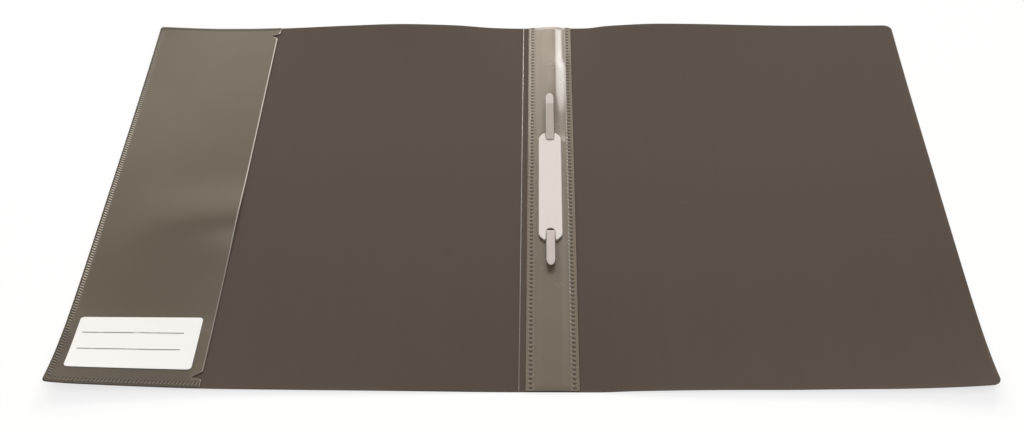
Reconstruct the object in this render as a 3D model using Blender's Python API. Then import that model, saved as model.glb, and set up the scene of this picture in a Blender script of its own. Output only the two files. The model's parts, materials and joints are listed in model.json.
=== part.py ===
"""Plastic fastener folder lying open with its inside up, in metres, +Z up, crease along Y."""
import math

import bmesh
import bpy
from mathutils import Matrix

for old in list(bpy.data.objects):
    bpy.data.objects.remove(old, do_unlink=True)

MM = 0.001

# Cover halves
COVER_WIDTH = 240.0 * MM
COVER_HEIGHT = 310.0 * MM
SHEET = 0.4 * MM
CORNER_RADIUS = 5.0 * MM
POCKET_CORNER_RADIUS = 2.2 * MM
SPINE_FLAT = 34.0 * MM
BAND_FLAT = 16.0 * MM
FAR_CURL = 3
NEAR_CURL = 5

# Living hinge, whose axis is the middle of the roll that the closed fold takes
CREASE_WIDTH = 1.0 * MM
CREASE_RISE = 0.5 * MM
FOLD_ROLL = 2.5 * MM

# Clearances
LAYER_GAP = 0.15 * MM
EDGE_INSET = 0.3 * MM
PIVOT_GAP = 0.1 * MM
SIDE_GAP = 0.3 * MM
SLOT_CORNER_GAP = 0.15 * MM

# Films and welds
FILM = 0.2 * MM
WELD_WIDTH = 2.0 * MM
WELD_THICK = 0.2 * MM
WELD_INSET = 1.8 * MM
STRIP_FILM_START = 3.1 * MM
STRIP_FILM_WIDTH = 27.2 * MM
FILM_SHOULDER = 2.4 * MM
SLIT_LENGTH = 2.0 * MM

# Pocket on the front cover
POCKET_WIDTH = 78.7 * MM
NOTCH_DEPTH = 4.7 * MM
NOTCH_MOUTH = 12.0 * MM
NOTCH_APEX = 8.6 * MM
NOTCH_TAB = 6.8 * MM
TAB_PROUD = 1.2 * MM

# Sticker on the pocket
LABEL_WIDTH = 65.0 * MM
LABEL_HEIGHT = 37.2 * MM
LABEL_THICK = 0.15 * MM
LABEL_RADIUS = 2.0 * MM
LABEL_FROM_SIDE = 7.5 * MM
LABEL_FROM_BOTTOM = 12.0 * MM

# Fastening strip
HOLE_PITCH = 80.0 * MM
FASTENER_OFFSET = 0.4 * MM
TONGUE_WIDTH = 4.7 * MM
TONGUE_THICK = 0.5 * MM
STRIP_THICK = 0.4 * MM
UPPER_FREE = 41.0 * MM
LOWER_FREE = 29.0 * MM
TONGUE_SLOPE = math.radians(2.5)
UPPER_TIP_LENGTH = 10.0 * MM
UPPER_TIP_SLOPE = math.radians(0.0)

# Cover bar
BAR_WIDTH = 13.4 * MM
BAR_THICK = 1.5 * MM
BAR_END = 6.3 * MM
BAR_CHAMFER = 0.35 * MM
BAR_SLOT_FLARE = 0.35 * MM

# Bow of the sheet: share of the cover's width from the crease, and height over the floor
FRONT_FAR_BOW = (
    (0.0, 0.0), (0.07, 0.4), (0.20, 3.0), (0.34, 4.0), (0.48, 2.8), (0.62, 1.1),
    (0.70, 0.3), (0.76, 0.0), (0.83, 0.0), (0.90, 0.5), (1.0, 1.8),
)
FRONT_NEAR_BOW = (
    (0.0, 0.0), (0.26, 0.8), (0.45, 1.4), (0.62, 2.0), (0.68, 2.4), (0.79, 3.7),
    (0.87, 4.9), (0.95, 6.3), (1.0, 7.9),
)
BACK_FAR_BOW = (
    (0.0, 0.0), (0.16, 0.3), (0.24, 2.3), (0.37, 3.8), (0.48, 3.4), (0.62, 2.45),
    (0.75, 1.85), (1.0, 1.95),
)
BACK_NEAR_BOW = (
    (0.0, 0.0), (0.16, 0.1), (0.26, 1.2), (0.45, 2.2), (0.55, 2.3), (0.70, 3.0),
    (0.78, 3.3), (0.90, 4.65), (1.0, 6.8),
)

# Mesh steps
COVER_COLUMNS = 18
COVER_ROWS = 12
CORNER_STEPS = 4
ROUND_STEPS = 8
LEAST_STEP = 0.3 * MM
TIP_FLAT = 0.5 * MM

# Heights and places that follow from the sizes above
HALF_HEIGHT = COVER_HEIGHT / 2
CREASE_CLEAR = CREASE_WIDTH / 2 + LAYER_GAP
WELD_TOP = SHEET + LAYER_GAP + WELD_THICK
FILM_EDGE_UNDER = WELD_TOP + LAYER_GAP
STRIP_TOP = SHEET + LAYER_GAP + STRIP_THICK
FILM_MID_UNDER = max(STRIP_TOP + LAYER_GAP, FILM_EDGE_UNDER)
BAR_UNDER = FILM_MID_UNDER + FILM + LAYER_GAP
BAR_TOP = BAR_UNDER + BAR_THICK
PIVOT_Z = BAR_TOP + PIVOT_GAP + TONGUE_THICK / 2
PIVOT_Y = HOLE_PITCH / 2
RISER_TOP = PIVOT_Z - TONGUE_THICK / 2 - PIVOT_GAP
FASTENER_X = STRIP_FILM_START + STRIP_FILM_WIDTH / 2 - FASTENER_OFFSET
BAR_HALF = HOLE_PITCH / 2 + BAR_END
SLOT_HALF_WIDTH = TONGUE_WIDTH / 2 + SIDE_GAP
LABEL_OVER = WELD_TOP + LAYER_GAP + FILM + LAYER_GAP
HINGE_Z = SHEET + FOLD_ROLL


def material(name, colour, rough, alpha=1.0, coat=0.0):
    """Make one Principled material."""
    mat = bpy.data.materials.new(name)
    mat.use_nodes = True
    shader = mat.node_tree.nodes["Principled BSDF"]
    shader.inputs["Base Color"].default_value = (*colour, 1.0)
    shader.inputs["Roughness"].default_value = rough
    shader.inputs["Metallic"].default_value = 0.0
    shader.inputs["Alpha"].default_value = alpha
    shader.inputs["Coat Weight"].default_value = coat
    mat.diffuse_color = (*colour, alpha)
    return mat


TAUPE = (0.098, 0.075, 0.058)
CREAM = (0.76, 0.69, 0.62)
GREY = (0.46, 0.42, 0.38)
HAZE = (0.30, 0.26, 0.22)
WHITE = (0.90, 0.90, 0.89)


def eased(table, share):
    """Read a height table at a share of the width, smooth and without overshoot.

    Args:
        table: Pairs of share and height in millimetres.
        share: Where to read it, from 0 to 1.

    Returns:
        The height in metres.
    """
    share = min(max(share, table[0][0]), table[-1][0])
    slopes = []
    for left, right in zip(table, table[1:]):
        slopes.append((right[1] - left[1]) / (right[0] - left[0]))
    tangents = [0.0]
    for before, after in zip(slopes, slopes[1:]):
        same = before * after > 0
        tangents.append(2 * before * after / (before + after) if same else 0.0)
    tangents.append(slopes[-1])
    for index, (left, right) in enumerate(zip(table, table[1:])):
        if share <= right[0]:
            span = right[0] - left[0]
            t = (share - left[0]) / span
            value = (2 * t ** 3 - 3 * t ** 2 + 1) * left[1]
            value += (t ** 3 - 2 * t ** 2 + t) * span * tangents[index]
            value += (3 * t ** 2 - 2 * t ** 3) * right[1]
            value += (t ** 3 - t ** 2) * span * tangents[index + 1]
            return value * MM
    return table[-1][1] * MM


def bow(x, y):
    """Height of the sheet's underside over the floor at a place on either cover."""
    share = abs(x) / COVER_WIDTH
    if x >= 0 and abs(x) <= SPINE_FLAT:
        return 0.0
    far_table, near_table = FRONT_FAR_BOW, FRONT_NEAR_BOW
    if x > 0:
        far_table, near_table = BACK_FAR_BOW, BACK_NEAR_BOW
    table = far_table if y > 0 else near_table
    curl = FAR_CURL if y > 0 else NEAR_CURL
    reach = (abs(y) - BAND_FLAT) / (HALF_HEIGHT - BAND_FLAT)
    height = eased(table, share) * max(reach, 0.0) ** curl
    if x > 0:
        step = min((x - SPINE_FLAT) / (SPINE_FLAT * 0.5), 1.0)
        height *= step * step * (3 - 2 * step)
    return height


def layer(offset):
    """Give a height function that follows the sheet at an offset from its underside."""
    return lambda x, y: bow(x, y) + offset


def level(height):
    """Give a height function that is the same everywhere."""
    return lambda x, y: height


def finish(name, bm, mat):
    """Turn a bmesh into a named object with outward normals."""
    bmesh.ops.remove_doubles(bm, verts=bm.verts, dist=1e-7)
    bmesh.ops.recalc_face_normals(bm, faces=bm.faces)
    mesh = bpy.data.meshes.new(name)
    bm.to_mesh(mesh)
    bm.free()
    mesh.materials.append(mat)
    obj = bpy.data.objects.new(name, mesh)
    bpy.context.scene.collection.objects.link(obj)
    return obj


def slab(name, rows, low, high, mat, skip=()):
    """Build a closed sheet from rows of points, each row with the same count.

    Args:
        name: Node name.
        rows: Lists of (x, y) points, in order of rising x within a row and rising y.
        low: Height of the underside at (x, y).
        high: Height of the top at (x, y).
        mat: Material.
        skip: Cells (column, row) that are left open.

    Returns:
        The object.
    """
    bm = bmesh.new()
    tops = []
    unders = []
    for row in rows:
        tops.append([bm.verts.new((x, y, high(x, y))) for x, y in row])
        unders.append([bm.verts.new((x, y, low(x, y))) for x, y in row])
    kept = set()
    for j in range(len(rows) - 1):
        for i in range(len(rows[0]) - 1):
            if (i, j) not in skip:
                kept.add((i, j))
    border = set()
    for i, j in sorted(kept):
        ring = [(i, j), (i + 1, j), (i + 1, j + 1), (i, j + 1)]
        bm.faces.new([tops[b][a] for a, b in ring])
        bm.faces.new([unders[b][a] for a, b in reversed(ring)])
        for start, end in zip(ring, ring[1:] + ring[:1]):
            if (end, start) in border:
                border.remove((end, start))
            else:
                border.add((start, end))
    for (a, b), (c, d) in sorted(border):
        bm.faces.new([unders[b][a], unders[d][c], tops[d][c], tops[b][a]])
    return finish(name, bm, mat)


def prism(name, outline, axis, start, end, mat):
    """Extrude a closed outline along X, Y or Z.

    Args:
        name: Node name.
        outline: Points in the plane across the axis, in order.
        axis: Which axis it runs along, 0, 1 or 2.
        start: First place along that axis.
        end: Last place along that axis.
        mat: Material.

    Returns:
        The object.
    """
    def place(point, along):
        """Put an outline point at a place along the axis."""
        spot = list(point)
        spot.insert(axis, along)
        return spot

    bm = bmesh.new()
    first = [bm.verts.new(place(p, start)) for p in outline]
    last = [bm.verts.new(place(p, end)) for p in outline]
    bm.faces.new(first)
    bm.faces.new(list(reversed(last)))
    for k in range(len(outline)):
        n = (k + 1) % len(outline)
        bm.faces.new([first[n], first[k], last[k], last[n]])
    return finish(name, bm, mat)


def steps(start, end, count):
    """Give evenly spaced values from start to end."""
    return [start + (end - start) * k / count for k in range(count + 1)]


def merged(values):
    """Sort values and drop those that almost repeat, keeping the first and the last."""
    ordered = sorted(values)
    result = [ordered[0]]
    for value in ordered[1:-1]:
        if value - result[-1] > LEAST_STEP and ordered[-1] - value > LEAST_STEP:
            result.append(value)
    return result + [ordered[-1]]


def corner_rows(half, radius):
    """Give the rows from the middle to a rounded corner, on the positive side."""
    rows = []
    for k in range(CORNER_STEPS + 1):
        rows.append(half - radius + radius * math.sin(math.pi / 2 * k / CORNER_STEPS))
    return rows


def round_edge(half, radius, y):
    """How far a rounded corner pulls the side edge in at a row."""
    past = abs(y) - (half - radius)
    if past <= 0:
        return 0.0
    return radius - math.sqrt(max(radius ** 2 - min(past, radius) ** 2, 0.0))


def signed(values):
    """Mirror positive rows to both sides and sort them."""
    return sorted(set(values) | {-v for v in values})


def cover_rows(inset, radius):
    """Rows that a cover and the films on it share, out to an inset from its edge.

    Args:
        inset: Distance in from the cover's edge.
        radius: Radius of the cover's outer corners.

    Returns:
        The rows on both sides of the middle.
    """
    half = HALF_HEIGHT - inset
    rows = []
    for k in range(COVER_ROWS + 1):
        rows.append((half - radius) * math.sin(math.pi / 2 * k / COVER_ROWS))
    rows += corner_rows(half, radius - inset)
    if BAND_FLAT < half:
        rows.append(BAND_FLAT)
    return signed(merged(rows))


def cover(name, side, radius, mat):
    """Build one half of the sheet.

    Args:
        name: Node name.
        side: -1 for the front half, 1 for the back half.
        radius: Radius of its outer corners.
        mat: Material.

    Returns:
        The object.
    """
    inner = COVER_WIDTH - radius - 1.0 * MM
    stations = steps(CREASE_CLEAR, inner, COVER_COLUMNS)
    if side > 0:
        stations = [s for s in stations if abs(s - SPINE_FLAT) > 6.0 * MM]
        stations.append(SPINE_FLAT)
    stations = merged(stations)
    rows = []
    for y in cover_rows(0.0, radius):
        edge = COVER_WIDTH - round_edge(HALF_HEIGHT, radius, y)
        row = [(side * s, y) for s in stations + [edge]]
        rows.append(row if side > 0 else row[::-1])
    return slab(name, rows, layer(0.0), layer(SHEET), mat)


def pocket_edge(y):
    """Where the pocket's mouth edge lies at a row, as a distance from the crease."""
    mouth = COVER_WIDTH - POCKET_WIDTH
    down = HALF_HEIGHT - abs(y)
    tab = mouth - TAB_PROUD
    apex = mouth + NOTCH_DEPTH
    if down >= NOTCH_MOUTH:
        return mouth
    if down <= NOTCH_TAB:
        return tab
    if down >= NOTCH_APEX:
        return mouth + (apex - mouth) * (NOTCH_MOUTH - down) / (NOTCH_MOUTH - NOTCH_APEX)
    return tab + (apex - tab) * (down - NOTCH_TAB) / (NOTCH_APEX - NOTCH_TAB)


def pocket(name, mat):
    """Build the pocket's film with a notch at each end of its mouth."""
    half = HALF_HEIGHT - EDGE_INSET
    radius = POCKET_CORNER_RADIUS - EDGE_INSET
    outer = COVER_WIDTH - EDGE_INSET
    shared = cover_rows(EDGE_INSET, POCKET_CORNER_RADIUS)
    spread = [v for v in shared if 0 <= v < HALF_HEIGHT - NOTCH_MOUTH - 1.0 * MM]
    marks = [HALF_HEIGHT - v for v in (NOTCH_MOUTH, NOTCH_APEX, NOTCH_TAB)]
    rounds = [v for v in corner_rows(half, radius) if v > marks[-1] + 0.3 * MM]
    first = COVER_WIDTH - POCKET_WIDTH + NOTCH_DEPTH + 2.0 * MM
    stations = steps(first, COVER_WIDTH - POCKET_CORNER_RADIUS - 1.0 * MM, 8)
    rows = []
    for y in signed(spread + marks + rounds):
        edge = outer - round_edge(half, radius, y)
        row = [pocket_edge(y)] + stations + [edge]
        rows.append([(-s, y) for s in reversed(row)])
    under = WELD_TOP + LAYER_GAP
    return slab(name, rows, layer(under), layer(under + FILM), mat)


def weld_on_cover(name, left, right, near, far, mat):
    """Build one flat weld strip that follows the front cover."""
    columns = steps(left, right, max(1, round((right - left) / (12.0 * MM))))
    shared = cover_rows(EDGE_INSET, POCKET_CORNER_RADIUS)
    places = [v for v in shared if near + 1.0 * MM < v < far - 1.0 * MM]
    rows = [[(x, y) for x in columns] for y in [near] + places + [far]]
    return slab(name, rows, layer(SHEET + LAYER_GAP), layer(WELD_TOP), mat)


def label(name, mat):
    """Build the sticker with rounded corners."""
    left = -COVER_WIDTH + LABEL_FROM_SIDE
    near = -HALF_HEIGHT + LABEL_FROM_BOTTOM
    middle = near + LABEL_HEIGHT / 2
    half = LABEL_HEIGHT / 2
    reach = LABEL_RADIUS + 0.6 * MM
    inner = steps(left + reach, left + LABEL_WIDTH - reach, 8)
    places = steps(0.0, half - LABEL_RADIUS, 4) + corner_rows(half, LABEL_RADIUS)
    rows = []
    for dy in signed(merged(places)):
        pull = round_edge(half, LABEL_RADIUS, dy)
        row = [left + pull] + inner + [left + LABEL_WIDTH - pull]
        rows.append([(x, middle + dy) for x in row])
    return slab(name, rows, layer(LABEL_OVER), layer(LABEL_OVER + LABEL_THICK), mat)


def fastener_film(name, mat):
    """Build the film strip, raised in its middle, with a slit for each riser."""
    left = STRIP_FILM_START
    right = left + STRIP_FILM_WIDTH
    band = WELD_INSET + WELD_WIDTH + 0.8 * MM
    columns = [left, left + band, left + band + FILM_SHOULDER]
    columns += [FASTENER_X - SLOT_HALF_WIDTH, FASTENER_X + SLOT_HALF_WIDTH]
    columns += [right - band - FILM_SHOULDER, right - band, right]
    slit = SLIT_LENGTH / 2
    half = HALF_HEIGHT - EDGE_INSET
    places = signed([PIVOT_Y - slit, PIVOT_Y + slit, half])
    rows = [[(x, y) for x in columns] for y in places]

    def under(x, y):
        """Height of the film's underside across its width."""
        nearest = min(x - left, right - x)
        share = min(max((nearest - band) / FILM_SHOULDER, 0.0), 1.0)
        return FILM_EDGE_UNDER + (FILM_MID_UNDER - FILM_EDGE_UNDER) * share

    def over(x, y):
        """Height of the film's top across its width."""
        return under(x, y) + FILM

    return slab(name, rows, under, over, mat, skip={(3, 1), (3, 3)})


def film_weld(name, left, mat):
    """Build one flat weld strip under an edge of the fastener film."""
    half = HALF_HEIGHT - EDGE_INSET
    rows = [[(left, y), (left + WELD_WIDTH, y)] for y in (-half, half)]
    return slab(name, rows, level(SHEET + LAYER_GAP), level(WELD_TOP), mat)


def crease(name, mat):
    """Build the raised living hinge between the covers."""
    half = CREASE_WIDTH / 2
    top = SHEET + CREASE_RISE
    outline = [(-half, 0.0), (half, 0.0), (half, SHEET)]
    for k in range(1, 6):
        turn = math.pi * k / 6
        outline.append((half * math.cos(turn), SHEET + (top - SHEET) * math.sin(turn)))
    outline.append((-half, SHEET))
    return prism(name, outline, 1, -HALF_HEIGHT, HALF_HEIGHT, mat)


def tongue_strip(name, mat):
    """Build the strip's middle with a riser through each slit."""
    out = PIVOT_Y + TONGUE_THICK / 2
    inner = PIVOT_Y - TONGUE_THICK / 2
    low = SHEET + LAYER_GAP
    outline = [(-out, low), (out, low), (out, RISER_TOP), (inner, RISER_TOP)]
    outline += [(inner, STRIP_TOP), (-inner, STRIP_TOP), (-inner, RISER_TOP), (-out, RISER_TOP)]
    half = TONGUE_WIDTH / 2
    return prism(name, outline, 0, FASTENER_X - half, FASTENER_X + half, mat)


def tongue(name, way, free, bend, mat):
    """Build one free tongue from its fold line to its round tip.

    Args:
        name: Node name.
        way: 1 if it points to the far edge, -1 to the near edge.
        free: Length from the fold line.
        bend: Length at the tip that leans the other way, or 0.
        mat: Material.

    Returns:
        The object.
    """
    half = TONGUE_WIDTH / 2
    marks = [0.0, (free - half) / 2]
    if bend:
        marks = [0.0, (free - bend) / 2, free - bend]
    for k in range(ROUND_STEPS + 1):
        marks.append(free - half + half * math.sin(math.pi / 2 * k / ROUND_STEPS))
    marks = merged(marks)

    def rise(x, y):
        """Height of the tongue's middle plane at a place along it."""
        along = abs(y) - PIVOT_Y
        straight = min(along, free - bend)
        height = PIVOT_Z + straight * math.tan(TONGUE_SLOPE)
        return height + (along - straight) * math.tan(UPPER_TIP_SLOPE)

    rows = []
    for mark in marks:
        reach = max(half - round_edge(free, half, mark), TIP_FLAT / 2)
        y = way * (PIVOT_Y + mark)
        rows.append([(FASTENER_X - reach, y), (FASTENER_X, y), (FASTENER_X + reach, y)])
    if way < 0:
        rows.reverse()

    def low(x, y):
        """Underside of the tongue."""
        return rise(x, y) - TONGUE_THICK / 2

    def high(x, y):
        """Top of the tongue."""
        return rise(x, y) + TONGUE_THICK / 2

    return slab(name, rows, low, high, mat)


def stadium(half_length, radius):
    """Outline of a bar with full-round ends, as (x, y) points."""
    points = []
    for end in (1, -1):
        for k in range(2 * ROUND_STEPS + 1):
            turn = math.pi * k / (2 * ROUND_STEPS)
            x = radius * math.cos(turn) * end
            y = (half_length - radius + radius * math.sin(turn)) * end
            points.append((x, y))
    return points


def loft(name, rings, mat):
    """Build a closed solid from rings of points with the same count."""
    bm = bmesh.new()
    layers = [[bm.verts.new(p) for p in ring] for ring in rings]
    bm.faces.new(list(reversed(layers[0])))
    bm.faces.new(layers[-1])
    count = len(rings[0])
    for below, above in zip(layers, layers[1:]):
        for k in range(count):
            n = (k + 1) % count
            bm.faces.new([below[k], below[n], above[n], above[k]])
    return finish(name, bm, mat)


def carve(target, cutter):
    """Cut one object out of another and remove the cutter."""
    cutter.hide_render = True
    cutter.display_type = "WIRE"
    cut = target.modifiers.new("cut", "BOOLEAN")
    cut.operation = "DIFFERENCE"
    cut.solver = "EXACT"
    cut.object = cutter
    graph = bpy.context.evaluated_depsgraph_get()
    mesh = bpy.data.meshes.new_from_object(target.evaluated_get(graph))
    target.modifiers.remove(cut)
    target.data = mesh
    mesh.name = target.name
    bpy.data.objects.remove(cutter, do_unlink=True)


def cover_bar(name, mat):
    """Build the bar with a flared slot that runs out through each end."""
    half = BAR_WIDTH / 2
    inset = BAR_CHAMFER
    rings = []
    for z, pull in ((BAR_UNDER, 0.0), (BAR_TOP - inset, 0.0), (BAR_TOP, inset)):
        ring = stadium(BAR_HALF - pull, half - pull)
        rings.append([(FASTENER_X + x, y, z) for x, y in ring])
    bar = loft(name, rings, mat)
    for way in (1, -1):
        corner = TONGUE_WIDTH / 2 + SLOT_CORNER_GAP
        back = math.sqrt(SLOT_HALF_WIDTH ** 2 - corner ** 2)
        centre = PIVOT_Y - TONGUE_THICK / 2 + back
        end = BAR_HALF + 1.0 * MM
        wide = SLOT_HALF_WIDTH + BAR_SLOT_FLARE
        ring = [(wide, end), (-wide, end)]
        for k in range(2 * ROUND_STEPS + 1):
            turn = math.pi * (1 + k / (2 * ROUND_STEPS))
            spot = centre + SLOT_HALF_WIDTH * math.sin(turn)
            ring.append((SLOT_HALF_WIDTH * math.cos(turn), spot))
        rings = []
        for z in (BAR_UNDER - 1.0 * MM, BAR_TOP + 1.0 * MM):
            rings.append([(FASTENER_X + way * x, way * y, z) for x, y in ring])
        carve(bar, loft("slot_cut", rings, mat))
    return bar


def pivot(obj, spot):
    """Put an object's origin on its joint axis without moving its mesh."""
    x, y, z = spot
    obj.data.transform(Matrix.Translation((-x, -y, -z)))
    obj.location = spot


def build():
    """Build every piece of the folder."""
    sheet = material("cover_sheet", TAUPE, 0.55)
    cover("back_cover", 1, CORNER_RADIUS, sheet)
    crease("hinge_crease", material("crease_line", (0.22, 0.19, 0.16), 0.35))
    haze = material("clear_film", HAZE, 0.12, 0.35, 0.5)
    fastener_film("fastener_film", haze)
    weld = material("weld_fused", TAUPE, 0.35)
    film_weld("film_weld_inner", STRIP_FILM_START + WELD_INSET, weld)
    right = STRIP_FILM_START + STRIP_FILM_WIDTH
    film_weld("film_weld_outer", right - WELD_INSET - WELD_WIDTH, weld.copy())
    outer = -COVER_WIDTH + WELD_INSET
    mouth = -COVER_WIDTH + POCKET_WIDTH - 0.6 * MM
    edge = HALF_HEIGHT - WELD_INSET
    turned = outer + max(POCKET_CORNER_RADIUS - WELD_INSET, 0.0)
    inner = edge - WELD_WIDTH
    ends = inner - LAYER_GAP
    wide = outer + WELD_WIDTH
    turning = [
        cover("front_cover", -1, POCKET_CORNER_RADIUS, sheet.copy()),
        pocket("pocket_film", haze.copy()),
        weld_on_cover("pocket_weld_side", outer, wide, -ends, ends, weld.copy()),
        weld_on_cover("pocket_weld_top", turned, mouth, inner, edge, weld.copy()),
        weld_on_cover("pocket_weld_bottom", turned, mouth, -edge, -inner, weld.copy()),
        label("label", material("label_paper", WHITE, 0.5)),
    ]
    for piece in turning:
        pivot(piece, (0.0, 0.0, HINGE_Z))
    grey = material("strip_plastic", GREY, 0.4)
    tongue_strip("tongue_strip", grey)
    upper = tongue("upper_tongue", 1, UPPER_FREE, UPPER_TIP_LENGTH, grey.copy())
    pivot(upper, (FASTENER_X, PIVOT_Y, PIVOT_Z))
    lower = tongue("lower_tongue", -1, LOWER_FREE, 0.0, grey.copy())
    pivot(lower, (FASTENER_X, -PIVOT_Y, PIVOT_Z))
    bar = cover_bar("cover_bar", material("bar_plastic", CREAM, 0.45))
    pivot(bar, (FASTENER_X, 0.0, BAR_UNDER))


build()
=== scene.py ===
"""Looks of an open plastic fastener folder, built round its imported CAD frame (Blender 4.5)."""

import json
import logging
import math
from collections.abc import Callable, Sequence
from dataclasses import dataclass
from enum import Enum

import bmesh
import bpy
from mathutils import Matrix, Vector


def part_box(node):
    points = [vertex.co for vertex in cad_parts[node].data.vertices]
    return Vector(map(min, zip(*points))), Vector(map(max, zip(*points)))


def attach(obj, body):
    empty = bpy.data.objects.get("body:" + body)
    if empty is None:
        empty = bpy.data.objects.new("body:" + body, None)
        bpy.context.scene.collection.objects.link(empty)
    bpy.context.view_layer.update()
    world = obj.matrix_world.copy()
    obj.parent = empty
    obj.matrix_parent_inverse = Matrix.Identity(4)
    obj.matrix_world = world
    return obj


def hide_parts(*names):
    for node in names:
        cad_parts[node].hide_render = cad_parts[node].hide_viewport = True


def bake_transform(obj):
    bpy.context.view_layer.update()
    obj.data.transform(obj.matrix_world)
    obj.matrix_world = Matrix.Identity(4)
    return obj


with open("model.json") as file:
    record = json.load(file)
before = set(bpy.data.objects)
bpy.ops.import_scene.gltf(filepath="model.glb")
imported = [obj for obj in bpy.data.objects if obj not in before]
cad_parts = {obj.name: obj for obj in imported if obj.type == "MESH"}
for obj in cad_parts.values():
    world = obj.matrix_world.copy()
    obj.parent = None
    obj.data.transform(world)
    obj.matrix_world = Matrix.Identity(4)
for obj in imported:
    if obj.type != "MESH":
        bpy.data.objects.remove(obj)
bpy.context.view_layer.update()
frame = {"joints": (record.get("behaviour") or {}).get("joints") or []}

MM = 0.001
TINY = 1e-6
SMOOTH_ANGLE = math.radians(50.0)
RIM_ANGLE = math.radians(60.0)
RIM_STEPS = 2
FRONT_CORNER = 2.2 * MM
FILM_SHORT = 0.05 * MM
MOUTH_BACK = 1.2 * MM
RISER_SHORT = 0.15 * MM
LOG = logging.getLogger("folder")

Point = tuple[float, float]
Triple = tuple[float, float, float]
Colour = Triple
Height = Callable[[float, float], float]
Piece = bpy.types.Object
Material = bpy.types.Material
Socket = bpy.types.NodeSocket
Value = float | Socket
Vert = bmesh.types.BMVert
Rows = Sequence[Sequence[Vert]]
Net = list[list[Vert]]


class Body(str, Enum):
    """Bodies of the frame that a piece can ride on."""

    BACK = "back"
    FRONT = "front"
    UPPER = "upper"
    LOWER = "lower"
    BAR = "bar"


class Slot(str, Enum):
    """Material slots of the record."""

    SHEET = "cover_sheet"
    CREASE = "crease_line"
    FILM = "clear_film"
    WELD = "weld_fused"
    PAPER = "label_paper"
    STRIP = "strip_plastic"
    BAR = "bar_plastic"


class Mask(str, Enum):
    """Masks that a mesh carries for its finish."""

    RIM = "rim"
    FUSED = "fused"
    RIDGE_HIGHLIGHT = "ridge"
    LIP_HIGHLIGHT = "lip"
    # Painted highlight on the upper tongue's level tip.
    TIP = "tip"
    # Whitening at a tongue's fold, and painted light on a riser's top.
    FOLD_WHITE_AND_LIGHT = "fold"
    MATT = "matt"


class Mixed(Enum):
    """What a mix node mixes: Blender's name for it, its two inputs and its output."""

    COLOUR = ("RGBA", 6, 7, 2)
    NUMBER = ("FLOAT", 2, 3, 0)


FILM_MASKS = (Mask.FUSED, Mask.RIDGE_HIGHLIGHT, Mask.LIP_HIGHLIGHT, Mask.MATT)
STRIP_MASKS = (Mask.RIM, Mask.TIP, Mask.FOLD_WHITE_AND_LIGHT)
PANEL_TINT: Colour = (1.0, 0.90, 0.78)


def smooth(share: float) -> float:
    """Ease a share from 0 to 1, flat at both ends."""
    share = min(max(share, 0.0), 1.0)
    return share * share * (3.0 - 2.0 * share)


def ramp(value: float, low: float, high: float) -> float:
    """Ease a value from 0 at low to 1 at high."""
    return smooth((value - low) / (high - low))


def bell(*off: float) -> float:
    """Height of a bell curve at offsets that are counted in its own reach."""
    return math.exp(-0.5 * sum(part ** 2 for part in off))


def spread(start: float, end: float, count: int) -> list[float]:
    """Give evenly spaced values from start to end."""
    return [start + (end - start) * k / count for k in range(count + 1)]


def merged(values: Sequence[float], least: float = 0.05 * MM) -> list[float]:
    """Sort values and drop those that almost repeat, keeping the first and the last.

    Args:
        values: Values in any order.
        least: Smallest step that is kept.

    Returns:
        The sorted values.
    """
    ordered = sorted(values)
    kept = [ordered[0]]
    for value in ordered[1:-1]:
        if value - kept[-1] > least and ordered[-1] - value > least:
            kept.append(value)
    return kept + [ordered[-1]]


def mirrored(values: Sequence[float]) -> list[float]:
    """Mirror positive values to both sides of zero and sort them."""
    return sorted(set(values) | {-v for v in values})


def round_edge(half: float, radius: float, y: float) -> float:
    """How far a rounded corner pulls the side edge in at a row."""
    past = min(max(abs(y) - (half - radius), 0.0), radius)
    return radius - math.sqrt(max(radius ** 2 - past ** 2, 0.0))


def corner_rows(half: float, radius: float, count: int) -> list[float]:
    """Rows that close in on a rounded corner, on the positive side."""
    return [half - radius + radius * math.sin(math.pi / 2 * k / count) for k in range(count + 1)]


def shaded(colour: Colour, share: float) -> Colour:
    """Make a colour darker or paler."""
    return tuple(part * share for part in colour)


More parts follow.
